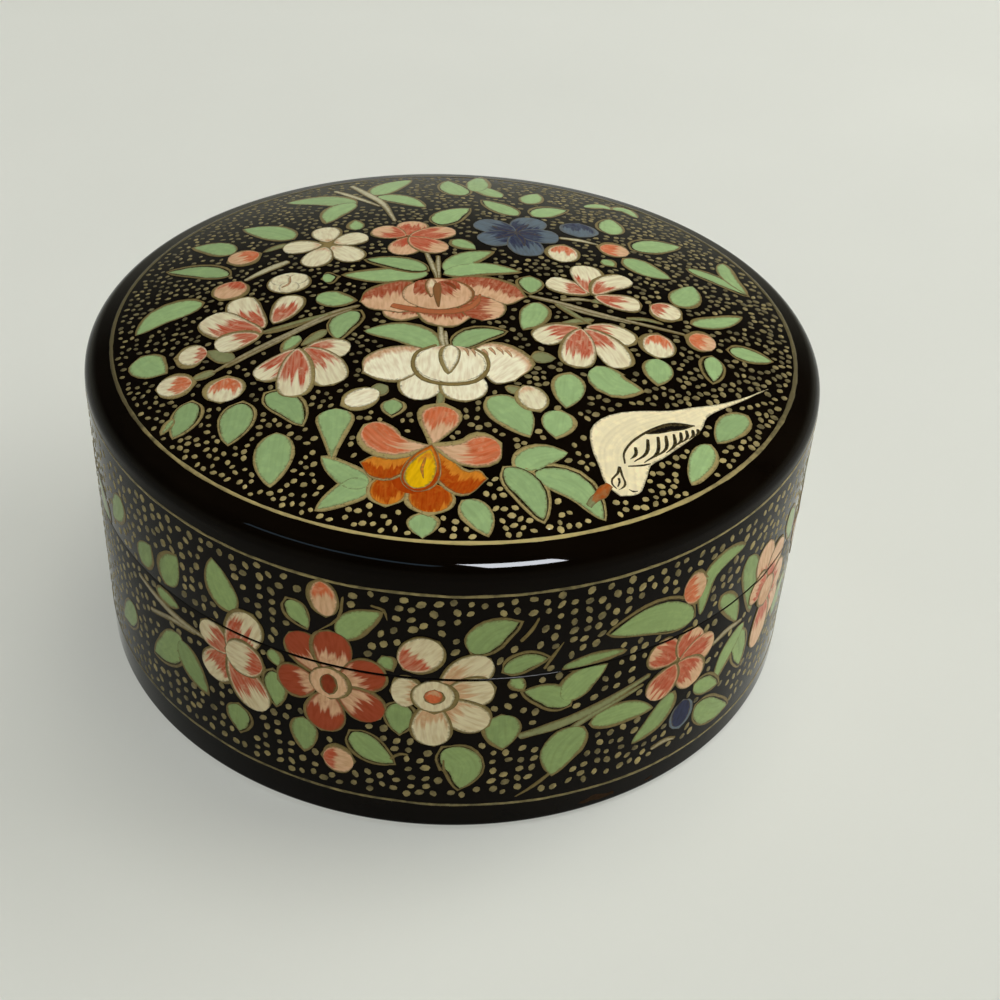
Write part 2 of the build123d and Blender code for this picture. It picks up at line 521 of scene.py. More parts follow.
SINK = 0.03  # mm that a coat of paint reaches into the lacquer
INSET = 0.3  # mm of the petal's own colour that a comb stroke leaves at both sides
WET = 1.0  # mm from the edge that a stroke with no dry edge counts as, all over
LEAF_HEIGHT = 0.015  # mm above the lacquer
FLOWER_HEIGHT = 0.05
STROKE_UNIT = 10.0  # mm across the brush that one unit of the stroke map stands for
MOST_COLUMNS = 12  # of faces across a stroke
HEART = 3.2  # mm across the dab that a flower's petals lie round
LEAF_ROOT = 0.55  # how sharp the two ends of a leaf are, as blade takes them
LEAF_TIP = 0.85


def paint_of(first, second=None, reach=0.5, inset=0.0):
    """What a shape is painted with: two colours, how far the first one reaches, and its clear border."""
    return (pot(first), pot(second or first), reach, inset)


def spline(points, count):
    """Points of a smooth line through the given points, closer together near its ends, and its directions."""
    if len(points) == 2:
        points = [points[0], tuple((a + b) / 2 for a, b in zip(*points)), points[1]]
    padded = [tuple(2 * a - b for a, b in zip(points[0], points[1]))] + list(points)
    padded.append(tuple(2 * a - b for a, b in zip(points[-1], points[-2])))
    spans = len(points) - 1
    line = []
    for i in range(count + 1):
        place = (1 - math.cos(math.pi * i / count)) / 2
        span = min(int(place * spans), spans - 1)
        t = place * spans - span
        spot = []
        way = []
        for a, b, c, d in zip(*padded[span:span + 4]):
            bend = 2 * a - 5 * b + 4 * c - d
            twist = 3 * b - a - 3 * c + d
            spot.append(0.5 * (2 * b + (c - a) * t + bend * t**2 + twist * t**3))
            way.append(0.5 * ((c - a) + 2 * bend * t + 3 * twist * t**2))
        size = math.hypot(*way) or 1.0
        line.append((place, spot[0], spot[1], way[0] / size, way[1] / size))
    return line


def bowed(start, end, bend):
    """Three points of a line that bows to its left by a share of its length."""
    dx = end[0] - start[0]
    dy = end[1] - start[1]
    middle = ((start[0] + end[0]) / 2 - dy * bend, (start[1] + end[1]) / 2 + dx * bend)
    return [start, middle, end]


def both_edges(x, y, dx, dy, half):
    """The left and right edge of a stroke at a point of its line, whose direction is dx, dy."""
    return ((x - dy * half, y + dx * half), (x + dy * half, y - dx * half))


def blade(points, width, root, tip, rows):
    """Shape that swells from a point and closes to one. For root and tip, 0.5 is round and 1 is sharp."""
    peak = root / (root + tip)
    fullest = peak**root * (1 - peak)**tip
    shape = []
    for t, x, y, dx, dy in spline(points, rows):
        half = width / 2 * t**root * (1 - t)**tip / fullest
        shape.append(both_edges(x, y, dx, dy, half))
    return shape


def brush_line(points, widths, rows):
    """Shape of a brush line whose width runs through the given widths."""
    shape = []
    for i, (t, x, y, dx, dy) in enumerate(spline(points, rows)):
        spot = t * (len(widths) - 1)
        k = min(int(spot), len(widths) - 2)
        half = (widths[k] + (widths[k + 1] - widths[k]) * (spot - k)) / 2
        if i in (0, rows):
            half = 0.0
        shape.append(both_edges(x, y, dx, dy, half))
    return shape


def between(left, right, rows):
    """Shape between two edges that share both ends."""
    return [(a[1:3], b[1:3]) for a, b in zip(spline(left, rows), spline(right, rows))]


def middle(pair):
    """The point halfway between two."""
    return tuple((a + b) / 2 for a, b in zip(*pair))


def grown(shape, amount, shift=(0.0, 0.0)):
    """The same shape, larger by that amount all round, and moved."""
    larger = []
    for i, (a, b) in enumerate(shape):
        if i in (0, len(shape) - 1):
            inner = middle(shape[1 if i == 0 else -2])
            away = math.dist(a, inner) or 1.0
            a = b = tuple(p + (p - q) * amount / away for p, q in zip(a, inner))
        else:
            width = math.dist(a, b) or 1.0
            a, b = (
                tuple(p + (p - q) * amount / width for p, q in zip(a, b)),
                tuple(q + (q - p) * amount / width for p, q in zip(a, b)),
            )
        larger.append(tuple((x + shift[0], y + shift[1]) for x, y in (a, b)))
    return larger


class Coat:
    """Closed thin shapes of paint on one sheet, gathered to become one mesh."""

    def __init__(self, place, seed, step):
        self.place = place
        self.step = step
        self.chance = random.Random(seed)
        self.points = []
        self.faces = []
        self.stroke = []
        names = ("first_colour", "second_colour", "reach", "inset", "tone", "edge")
        self.values = {name: [] for name in names}

    def add(self, shape, lift, paint, shade="along", wobble=0.035, dry=True):
        """Lays one shape.

        paint is what paint_of gives. shade is the way its colours run: along the stroke, or across it
        from its left or its right edge. wobble is how far the edges stray. A dry edge shows brown.
        """
        widest = max(math.dist(a, b) for a, b in shape)
        columns = max(2, min(MOST_COLUMNS, math.ceil(widest / self.step)))
        across = [2 * i / columns - 1 for i in range(columns + 1)]
        middles = [middle(pair) for pair in shape]
        length_mm = sum(math.dist(a, b) for a, b in zip(middles, middles[1:]))
        strays = [self._strays(len(shape), wobble), self._strays(len(shape), wobble)]
        offset = self.chance.random() * 50
        travelled = 0.0
        top = []
        under = []
        start = len(self.points)
        for i, (a, b) in enumerate(shape):
            if i:
                travelled += math.dist(middles[i - 1], middles[i])
            spine = (middles[i], a, math.dist(a, b) / 2, [edge[i] for edge in strays])
            mapped = (travelled / length_mm, offset, length_mm, shade)
            at_end = i in (0, len(shape) - 1)
            top.append(self._row([0.0] if at_end else across, lift, spine, mapped))
            under.append(self._row([0.0] if at_end else [-1.0, 1.0], -SINK, spine, mapped))
        if not dry:
            self.values["edge"][start:] = [WET] * (len(self.points) - start)
        self._close(top, under)
        self._fill(paint, len(self.points) - start)

    def _strays(self, count, amount):
        """A hand's unevenness along one edge, in millimetres: neighbouring values differ little."""
        raw = [self.chance.uniform(-1, 1) for _ in range(count + 1)]
        return [amount * (raw[i] + raw[i + 1]) for i in range(count)]

    def _row(self, across, lift, spine, mapped):
        """Adds the points of one row, and returns their numbers.

        spine is the row's middle, its left edge, half its width, and how far its two edges stray.
        mapped is how far along the stroke it lies, where the stroke's map starts, its length and shade.
        """
        centre, left, half, strays = spine
        t, offset, length_mm, shade = mapped
        numbers = []
        for v in across:
            share = v * (1 + strays[v > 0] / half) if half > 1e-6 else v
            x, y = (c + (p - c) * share for c, p in zip(centre, left))
            numbers.append(len(self.points))
            self.points.append(self.place(x, y, lift))
            if shade == "along":
                self.stroke.append((t, offset + v * half / STROKE_UNIT))
            else:
                side = (1 - v) / 2 if shade == "left" else (1 + v) / 2
                self.stroke.append((side, offset + t * length_mm / STROKE_UNIT))
            self.values["edge"].append(half * (1 - abs(v)) if len(across) > 1 else 0.0)
        return numbers

    def _close(self, top, under):
        """Faces of the top, the underside and the walls between them."""
        for a, b in zip(top, top[1:]):
            self._strip(a, b)
        for a, b in zip(under, under[1:]):
            self._strip(b, a)
        for (a, b), (c, d) in zip(zip(top, top[1:]), zip(under, under[1:])):
            self.faces.append([b[0], a[0], c[0], d[0]])
            self.faces.append([a[-1], b[-1], d[-1], c[-1]])

    def _strip(self, a, b):
        """Faces between two rows, either of which may be a single point."""
        if len(a) == 1:
            self.faces += [[a[0], b[i], b[i + 1]] for i in range(len(b) - 1)]
        elif len(b) == 1:
            self.faces += [[a[i + 1], a[i], b[0]] for i in range(len(a) - 1)]
        else:
            self.faces += [[a[i + 1], a[i], b[i], b[i + 1]] for i in range(len(a) - 1)]

    def _fill(self, paint, count):
        """Gives the newest points their paint."""
        tone = self.chance.random()
        for key, value in zip(self.values, paint + (tone,)):
            self.values[key] += [value] * count

    def mesh(self, name):
        """The gathered shapes as one mesh with its stroke map and paint attributes."""
        mesh = outward(new_mesh(name, self.points, self.faces))
        uv = mesh.uv_layers.new(name="stroke")
        corners = [0] * len(mesh.loops)
        mesh.loops.foreach_get("vertex_index", corners)
        uv.data.foreach_set("uv", [c for v in corners for c in self.stroke[v]])
        for key, values in self.values.items():
            if key.endswith("colour"):
                layer = mesh.attributes.new(key, "FLOAT_COLOR", "POINT")
                layer.data.foreach_set("color", [c for value in values for c in value])
            else:
                layer = mesh.attributes.new(key, "FLOAT", "POINT")
                layer.data.foreach_set("value", values)
        return mesh


class Sheet:
    """One painted sheet: gold outlines below, flat strokes and combed petals above."""

    def __init__(self, place, seed, step, rows, coat):
        self.gold = Coat(place, seed, step)
        self.flat = Coat(place, seed + 1, step)
        self.petals = Coat(place, seed + 2, step)
        self.chance = random.Random(seed + 3)
        self.rows = rows
        self.coat = coat / MM
        self.outline = settings("paint_sizes").outline / MM
        self.height = LEAF_HEIGHT

    def coats(self):
        """Its coats that carry any paint, each with its material and what its piece is called."""
        rows = (
            (self.gold, "outline", "outlines"),
            (self.flat, "flat", "leaves"),
            (self.petals, "petal", "petals"),
        )
        return [row for row in rows if row[0].faces]

    def fresh(self):
        """Starts a motif that lies on the leaves and not on the motif before."""
        self.height = FLOWER_HEIGHT + self.chance.uniform(0.0, 0.3) * self.coat

    def lay(self, coat, shape, paint, rim=None, gap=0.0, rim_pot=None, **style):
        """Lays a shape with an outline that shows round it, more on one side, and a dark gap between."""
        rim = self.outline if rim is None else rim
        if rim:
            turn = self.chance.uniform(0, math.tau)
            slip = self.chance.uniform(0.3, 0.8) * rim
            drift = (slip * math.cos(turn), slip * math.sin(turn))
            behind = grown(shape, rim + gap, drift)
            if rim_pot:
                self.flat.add(behind, self.height, paint_of(rim_pot))
            else:
                self.gold.add(behind, self.height, paint_of("outline"))
            if gap:
                inside = grown(shape, gap, tuple(0.7 * d for d in drift))
                self.flat.add(inside, self.height + self.coat / 3, paint_of("ground"))
        coat.add(shape, self.height + self.coat * 2 / 3, paint, **style)
        self.height += self.coat

    def leaf(self, start, end, width, bend=0.0, pot_name="leaf", rim=None, gap=None):
        """A leaf in one flat colour, a little lighter or darker than the next."""
        tint = self.chance.uniform(0.88, 1.06)
        paint = tuple(c * tint for c in pot(pot_name)[:3]) + (1.0,)
        gap = self.chance.choice((0.0, 0.0, 0.12, 0.2)) if gap is None else gap
        shape = blade(bowed(start, end, bend), width, LEAF_ROOT, LEAF_TIP, self.rows)
        self.height = LEAF_HEIGHT + self.chance.uniform(0.0, 2.0) * self.coat
        self.lay(self.flat, shape, (paint, paint, 0.5, 0.0), rim, gap, wobble=0.06)

    def petal(self, start, end, width, first, second, reach=0.45, bend=0.0, root=0.72, tip=0.46, **style):
        """A petal or bud, combed from its first colour at the start to its second at the end."""
        shape = blade(bowed(start, end, bend), width, root, tip, self.rows)
        reach = reach * self.chance.uniform(0.85, 1.15)
        self.lay(self.petals, shape, paint_of(first, second, reach, INSET), **style)

    def wing(self, left, right, first, second, reach, shade, **style):
        """A petal between two drawn edges, combed from one of them to the other."""
        shape = between(left, right, self.rows + 4)
        self.lay(self.petals, shape, paint_of(first, second, reach), shade=shade, **style)

    def oval(self, centre, width, height, first, second, reach=0.45, **style):
        """An oval touch of paint whose colours run from its top to its bottom."""
        top = (centre[0], centre[1] + height / 2)
        bottom = (centre[0], centre[1] - height / 2)
        self.petal(top, bottom, width, first, second, reach, root=0.5, tip=0.5, **style)

    def stem(self, points, width, pot_name="stem", rim=0.14):
        """A brush line that thins out, with a gold line along it."""
        shape = brush_line(points, [width * 0.6, width, width * 0.85, width * 0.3], self.rows + 2)
        self.height = FLOWER_HEIGHT - 1.5 * self.coat
        self.lay(self.flat, shape, paint_of(pot_name), rim)

    def dab(self, centre, width, pot_name):
        """A plain round dab below the petals, which lie round it."""
        points = [(centre[0], centre[1] + width / 2), (centre[0], centre[1] - width / 2)]
        shape = blade(points, width, 0.5, 0.5, self.rows)
        self.flat.add(shape, self.height, paint_of(pot_name))
        self.height += self.coat / 2

    def ink(self, points, widths, pot_name="line", rows=10):
        """A plain brush line on top of what was laid last."""
        shape = brush_line(points, widths, rows)
        self.flat.add(shape, self.height + self.coat, paint_of(pot_name), wobble=0.02)

    def flower(self, centre, ends, width, first, second, reach=0.45, start=0.8, heart="outline", **style):
        """Petals from near a centre to their ends, over a dab that shows in the middle."""
        self.fresh()
        self.dab(centre, HEART, heart)
        for end in ends:
            away = math.dist(centre, end)
            near = tuple(c + (e - c) * start / away for c, e in zip(centre, end))
            bend = self.chance.uniform(-0.05, 0.05)
            self.petal(near, end, width, first, second, reach, bend, **style)


# ---- the lid's painting, millimetres in plan ----

# start of the leaf, its tip, its width and how far it bows to its left
LID_LEAVES = (
    (-31.0, -1.6, -38.0, -7.0, 4.0, -0.16), (-36.4, -12.0, -32.8, -15.6, 3.9, -0.1),
    (-28.7, -21.4, -29.7, -26.8, 2.9, 0.05), (-22.8, -22.2, -23.3, -28.5, 3.5, 0.0),
    (-20.2, -20.9, -15.6, -25.9, 3.0, 0.1), (-18.2, -27.2, -17.8, -34.6, 3.9, 0.0),
    (-11.6, -5.4, -13.4, -11.0, 3.0, -0.14), (-18.0, -10.2, -19.4, -13.0, 1.5, 0.0),
    (-16.8, -1.4, -12.3, -2.8, 3.1, -0.1), (-1.6, -12.2, -10.4, -9.4, 3.7, -0.14),
    (0.2, -11.9, 5.9, -8.2, 2.8, 0.12), (-4.0, 4.0, -14.2, 3.4, 3.4, 0.04),
    (-4.2, 5.0, -11.8, 7.5, 2.8, -0.06), (-2.0, 4.2, 7.2, 6.2, 3.0, 0.1),
    (-1.8, 4.8, 3.6, 11.0, 3.2, 0.1), (-29.0, 5.0, -37.2, 8.0, 2.7, -0.06),
    (-29.5, 11.3, -35.2, 14.8, 3.3, -0.1), (-22.2, 14.6, -29.4, 19.3, 3.9, -0.06),
    (-14.2, 16.7, -14.6, 19.9, 1.9, 0.0), (-15.4, 26.8, -25.0, 28.6, 3.9, -0.1),
    (-15.6, 27.0, -18.4, 19.4, 3.3, -0.1), (-13.2, 30.6, -8.8, 38.6, 3.7, 0.06),
    (-12.6, 29.9, -5.9, 25.4, 3.0, 0.08), (-3.6, 19.0, 0.0, 25.6, 3.6, 0.08),
    (-1.0, 31.4, -3.6, 38.6, 3.6, 0.06), (0.6, 33.6, 0.9, 42.2, 3.0, 0.0),
    (4.2, 31.6, 0.0, 36.8, 2.9, 0.0), (7.8, 29.9, 9.2, 35.2, 2.9, 0.0),
    (6.6, 24.3, 1.8, 29.4, 3.1, 0.0), (8.9, 24.6, 13.3, 28.8, 3.2, 0.1),
    (19.2, 21.8, 19.3, 27.7, 3.3, 0.0), (22.2, 17.8, 28.6, 22.0, 3.7, 0.06),
    (20.8, 14.0, 26.6, 10.6, 3.7, -0.06), (29.2, 14.8, 36.6, 11.2, 2.0, 0.06),
    (34.2, 19.4, 36.6, 11.4, 2.2, -0.1), (27.0, 3.8, 29.4, 9.8, 3.5, -0.05),
    (17.9, 12.6, 19.3, 11.2, 1.7, 0.0), (-1.4, 13.8, 1.6, 11.6, 2.3, 0.0),
    (8.7, 5.0, 8.8, 1.0, 2.8, 0.0), (28.8, -0.2, 35.4, 4.4, 2.2, -0.06),
    (9.8, -1.2, 8.1, -7.2, 3.2, 0.05), (33.2, -4.3, 38.4, -4.3, 2.7, 0.0),
    (30.9, -6.6, 30.7, -11.5, 2.3, 0.0), (24.2, -9.4, 24.0, -14.2, 3.2, 0.0),
    (16.7, -12.9, 21.9, -16.0, 4.3, -0.22), (13.8, -15.0, 13.4, -20.9, 3.4, 0.0),
    (4.8, -20.6, 9.5, -26.0, 4.2, 0.08), (8.2, -31.0, 13.6, -28.0, 3.1, 0.1),
    (7.0, -31.2, 11.2, -37.6, 3.3, 0.1), (10.2, -31.4, 17.6, -36.6, 3.4, 0.16),
    (34.2, -16.7, 30.5, -22.3, 3.0, -0.05), (29.5, -23.0, 27.2, -29.4, 2.6, 0.0),
    (-5.9, -21.9, -5.9, -24.3, 2.1, 0.0), (-1.3, -38.3, -1.2, -41.2, 2.9, 0.0),
    (2.8, -36.2, 5.6, -40.2, 2.9, 0.08), (12.6, -21.6, 12.2, -25.8, 3.5, 0.0),
    (-16.8, 2.5, -15.3, 2.9, 2.2, 0.0), (-30.2, -24.0, -31.0, -26.0, 0.6, 0.0),
)
# points along the leaf, its width, and how sharp its two ends are
CURLED_LEAVES = (
    (((-12.2, -23.5), (-12.0, -26.6), (-11.7, -31.2)), 3.7, 0.5, 1.5),
    (((-7.4, -34.6), (-9.6, -33.6), (-12.8, -30.9)), 2.7, 0.5, 0.75),
    (((-7.4, -34.4), (-9.4, -35.6), (-12.4, -37.9)), 2.9, 0.5, 0.8),
    (((15.8, 31.6), (18.0, 33.2), (19.6, 32.6)), 1.7, 0.6, 0.7),
    (((19.8, 32.8), (21.6, 33.4), (23.2, 30.8)), 1.8, 0.6, 0.7),
)
# start of the calyx or stalk, its tip and its width
CALYXES = (
    (-22.4, -9.2, -17.6, -7.4, 0.9), (-25.0, -14.4, -28.4, -12.2, 2.0), (-26.8, -16.2, -29.4, -17.4, 1.2),
    (-6.8, -19.6, -8.6, -21.0, 1.9), (6.6, -18.6, 9.2, -19.4, 1.2), (-22.8, 12.8, -25.4, 10.8, 1.0),
    (16.3, 0.9, 19.2, 1.6, 0.9), (16.4, -3.3, 12.6, -5.0, 1.0), (9.3, -12.6, 12.0, -12.4, 2.0),
    (-14.9, -9.2, -17.3, -12.1, 1.2),
)
# start of the bud, its far end, its width, its two colours and how far the first one reaches
LID_BUDS = (
    (-28.4, -12.7, -31.7, -12.8, 3.8, "coral", "cream", 0.4),
    (-29.2, -17.9, -33.2, -18.4, 3.7, "salmon", "cream", 0.55),
    (-25.1, -17.6, -25.1, -21.7, 4.2, "salmon", "cream", 0.55),
    (-27.2, 3.0, -28.8, -0.9, 4.2, "coral", "pink", 0.45),
    (-26.0, 10.6, -29.6, 8.9, 4.1, "salmon", "pink", 0.5),
    (-7.6, -20.6, -11.2, -22.6, 2.9, "white", "white", 0.5),
    (8.6, -18.1, 10.4, -21.7, 3.1, "pink", "cream", 0.25),
    (12.9, 15.2, 12.6, 10.3, 3.9, "salmon", "cream", 0.45),
    (17.6, 16.4, 21.4, 16.0, 3.9, "salmon", "pink", 0.6),
    (23.8, 2.4, 27.2, 0.6, 4.0, "coral", "cream", 0.5),
    (28.2, -3.4, 31.4, -4.3, 3.9, "salmon", "pink", 0.55),
    (24.4, -4.3, 24.2, -9.0, 3.9, "salmon", "cream", 0.5),
)
# points along the stem, its width and its paint
LID_STEMS = (
    (((-11.6, -3.9), (-15.0, -5.7), (-18.0, -8.6), (-21.4, -11.4), (-24.4, -13.9), (-27.2, -16.4)),
     0.5, "stem"),
    (((-12.4, -4.8), (-16.4, -7.6), (-20.4, -11.2), (-25.6, -15.6)), 0.4, "stem"),
    (((-14.6, -5.6), (-19.0, -7.6), (-22.6, -9.2)), 0.6, "calyx"),
    (((8.6, 0.3), (12.0, -0.4), (16.0, -1.5), (20.0, -2.3), (27.9, -3.0)), 0.6, "stem"),
    (((12.0, -0.9), (16.0, -2.2), (21.0, -2.9)), 0.4, "stem"),
    (((12.0, -0.8), (14.0, -2.6), (16.2, -4.4)), 0.6, "calyx"),
    (((12.6, 0.2), (14.6, 0.9), (16.4, 1.0)), 0.5, "stem"),
    (((20.6, -1.9), (23.0, -1.4), (25.0, -1.7)), 0.5, "calyx"),
    (((-17.0, 35.6), (-14.0, 30.6), (-11.6, 26.4), (-9.4, 19.6)), 1.0, "pale"),
    (((-19.0, 33.0), (-16.0, 29.8), (-12.0, 25.4)), 0.8, "pale"),
    (((-21.8, 7.6), (-24.0, 5.8), (-26.6, 3.2)), 1.1, "pale"),
    (((12.3, 17.7), (15.0, 17.7), (17.4, 17.2)), 0.7, "pale"),
    (((-4.6, 9.8), (-3.6, 6.4), (-2.8, 3.0)), 0.5, "pale"),
    (((-3.0, 8.8), (-2.8, 6.0), (-2.5, 3.0)), 0.4, "pale"),
    (((-1.6, -8.0), (-1.3, -10.4), (-0.6, -13.2)), 0.55, "pale"),
    (((-0.9, -9.0), (-0.7, -11.0), (-0.3, -13.0)), 0.35, "pale"),
    (((-0.8, -19.8), (-0.7, -21.2), (-0.8, -22.8)), 0.8, "calyx"),
)


def paint_lid_leaves(sheet):
    """Leaves, calyxes and stems of the lid. They lie below the flowers."""
    for x0, y0, x1, y1, width, bend in LID_LEAVES:
        sheet.leaf((x0, y0), (x1, y1), width, bend)
    for points, width, root, tip in CURLED_LEAVES:
        shape = blade(points, width, root, tip, sheet.rows)
        sheet.height = LEAF_HEIGHT + 2 * sheet.coat
        sheet.lay(sheet.flat, shape, paint_of("leaf"), wobble=0.05)
    for x0, y0, x1, y1, width in CALYXES:
        sheet.leaf((x0, y0), (x1, y1), width, pot_name="calyx", rim=0.16, gap=0.0)
    for points, width, pot_name in LID_STEMS:
        sheet.stem(points, width, pot_name)


# the four open flowers at the ends of the two long stems, petal by petal: its root, its end, its
# width and how far it bows
SPLIT_FLOWERS = (
    ((-22.4, -8.2, -26.4, -1.3, 3.8, 0.08), (-22.5, -9.2, -29.7, -5.0, 4.7, 0.1),
     (-22.7, -9.8, -27.5, -11.8, 3.5, -0.06), (-21.4, -7.4, -19.8, -1.5, 3.4, -0.04)),
    ((-16.7, -12.7, -11.8, -13.3, 3.3, 0.08), (-17.9, -12.9, -21.7, -18.0, 3.3, 0.04),
     (-16.9, -12.7, -12.8, -19.3, 4.3, 0.06), (-17.8, -12.8, -17.2, -21.3, 3.9, 0.0)),
    ((15.8, 2.6, 10.8, 4.6, 3.5, 0.0), (16.1, 2.8, 15.2, 9.8, 4.0, -0.04),
     (16.6, 2.6, 21.2, 8.1, 3.3, 0.1), (16.7, 2.1, 22.3, 1.8, 3.5, -0.06)),
    ((14.8, -5.6, 9.8, -9.3, 3.4, -0.06), (15.6, -5.2, 21.2, -7.0, 3.3, 0.12),
     (15.4, -5.7, 19.8, -12.4, 3.9, 0.08), (15.0, -5.8, 14.5, -13.4, 4.0, 0.0)),
)
WHITE_FLOWER = (-17.3, 12.0)
WHITE_FLOWER_ENDS = ((-18.5, 17.6), (-12.7, 14.8), (-13.0, 7.2), (-18.7, 5.8), (-23.0, 11.4))
CORAL_FLOWER = (-7.3, 14.4)
CORAL_FLOWER_ENDS = ((-7.0, 19.6), (-11.8, 16.8), (-1.4, 17.0), (-7.6, 8.8), (-2.2, 10.4))
BLUE_FLOWER = (6.6, 17.7)
BLUE_FLOWER_ENDS = ((9.4, 23.4), (1.2, 20.4), (2.2, 13.8), (8.6, 10.8), (12.2, 17.4))


def paint_small_flowers(sheet):
    """The three five-petalled flowers, the open flowers, the buds and two round ones."""
    sheet.flower(WHITE_FLOWER, WHITE_FLOWER_ENDS, 3.7, "tan", "cream", 0.16, rim=0.2)
    sheet.flower(CORAL_FLOWER, CORAL_FLOWER_ENDS, 4.0, "coral", "pink", 0.62, start=0.3, heart="brick",
                 rim=0.14)
    sheet.flower(BLUE_FLOWER, BLUE_FLOWER_ENDS, 4.7, "navy", "slate", 0.6, start=0.1, heart="navy",
                 root=0.6, tip=0.4, rim=0.0)
    for end in BLUE_FLOWER_ENDS:
        reach = tuple(c + (e - c) * 0.6 for c, e in zip(BLUE_FLOWER, end))
        sheet.ink(bowed(BLUE_FLOWER, reach, 0.06), [0.3, 0.9, 0.6, 0.15], "navy")
    for petals in SPLIT_FLOWERS:
        sheet.fresh()
        for x0, y0, x1, y1, width, bend in petals:
            sheet.petal((x0, y0), (x1, y1), width, "coral", "cream", 0.55, bend,
                        root=0.62, tip=0.32, rim=0.26)
    for x0, y0, x1, y1, width, first, second, reach in LID_BUDS:
        sheet.fresh()
        sheet.petal((x0, y0), (x1, y1), width, first, second, reach, root=0.52, tip=0.5, rim=0.4)
    sheet.fresh()
    sheet.oval((14.8, 21.5), 4.7, 4.6, "navy", "slate", 0.55, rim=0.3, rim_pot="slate")
    sheet.fresh()
    sheet.oval((-20.9, 1.9), 5.1, 4.9, "cream", "cream", rim=0.22)
    for centre in ((-21.9, 2.6), (-19.9, 2.7), (-20.7, 0.7)):
        sheet.oval(centre, 2.6, 2.6, "cream", "cream", rim=0.0)
    sheet.ink([(-21.6, 0.6), (-20.8, 1.6), (-20.9, 3.4)], [0.2, 0.4, 0.3, 0.15], "tan")


# one edge of each petal, its other edge, how far the madder reaches over it and from which edge
RED_LOTUS_WINGS = (
    (((-8.8, -4.6), (-7.4, -3.4), (-5.6, -3.6), (-3.6, -5.6)),
     ((-8.8, -4.6), (-8.2, -6.2), (-6.2, -7.0), (-3.6, -5.6)), 0.62, "left"),
    (((-4.6, -5.0), (-2.8, -3.8), (-0.4, -3.8), (2.2, -5.2)),
     ((-4.6, -5.0), (-3.2, -7.3), (0.0, -7.8), (2.2, -5.2)), 0.64, "left"),
    (((1.8, 0.4), (4.6, -1.0), (5.8, -3.2), (5.2, -5.3), (3.2, -6.3)),
     ((1.8, 0.4), (0.8, -1.6), (0.4, -3.6), (1.2, -5.4), (3.2, -6.3)), 0.7, "right"),
    (((-11.5, -3.2), (-11.1, -0.9), (-9.0, 0.9), (-6.0, 1.7), (-3.5, -1.5)),
     ((-11.5, -3.2), (-10.4, -4.6), (-8.4, -5.1), (-5.6, -5.2), (-3.5, -1.5)), 0.42, "left"),
    (((-1.8, 2.4), (0.8, 3.6), (4.2, 3.5), (7.0, 2.0), (8.1, -0.2)),
     ((-1.8, 2.4), (0.4, -0.6), (3.2, -0.9), (6.0, -2.3), (8.1, -0.2)), 0.5, "left"),
)
# start, end, width and bow of the two touches in its heart
RED_LOTUS_TOUCHES = (((-4.3, 2.2), (-4.9, -1.9), 2.6, 0.1), ((-1.3, 2.4), (0.2, -1.5), 3.0, -0.14))
RED_LOTUS_CRESCENT = ((-7.8, -3.9), (-5.6, -4.6), (-2.4, -5.1), (0.6, -4.4), (2.3, -2.6), (2.7, -0.4))


def paint_red_lotus(sheet):
    """Red lotus in the middle: two wings and a fringe round an oval heart with a drop in it."""
    sheet.fresh()
    for left, right, reach, side in RED_LOTUS_WINGS:
        sheet.wing(left, right, "madder", "pink", reach, side, rim=0.24)
    sheet.ink(RED_LOTUS_CRESCENT, [0.9, 1.2, 1.1, 1.0, 0.9, 0.3], "rust", 20)
    sheet.height += sheet.coat
    sheet.petal((-2.7, 2.6), (-2.2, -4.5), 8.4, "pink", "pink", root=0.5, tip=0.5, rim=0.26, rim_pot="umber")
    for start, end, width, bend in RED_LOTUS_TOUCHES:
        sheet.petal(start, end, width, "madder", "pink", 0.7, bend, root=0.4, tip=0.62, rim=0.0, dry=False)
    sheet.ink([(-1.9, 1.9), (-0.9, 1.3), (-0.3, 0.2)], [0.3, 0.8, 0.6, 0.2], "brick")
    sheet.petal((-3.4, 2.5), (-3.1, -1.8), 1.2, "cream", "pink", root=0.5, tip=1.0, rim=0.16, rim_pot="umber")
    sheet.ink([(-2.6, 1.6), (-2.5, -0.6), (-2.1, -4.1)], [0.7, 1.1, 0.9, 0.2], "umber")


# the same columns for the white lotus
WHITE_LOTUS_WINGS = (
    (((-2.0, -13.4), (-3.4, -16.6), (-5.6, -18.5), (-8.0, -18.3), (-9.7, -17.2)),
     ((-2.0, -13.4), (-4.6, -12.3), (-7.6, -12.8), (-9.8, -14.8), (-9.7, -17.2)), 0.2, "right"),
    (((1.8, -12.8), (4.4, -10.8), (7.4, -11.5), (9.4, -14.2), (7.4, -17.3)),
     ((1.8, -12.8), (3.2, -14.6), (4.2, -16.8), (5.4, -18.1), (7.4, -17.3)), 0.16, "left"),
)
WHITE_LOTUS_RING = (
    (-1.8, -11.8), (-3.9, -13.4), (-4.2, -16.0), (-2.8, -18.2), (0.0, -18.9), (2.9, -18.1), (4.3, -15.9),
    (4.0, -13.4), (2.2, -11.8),
)


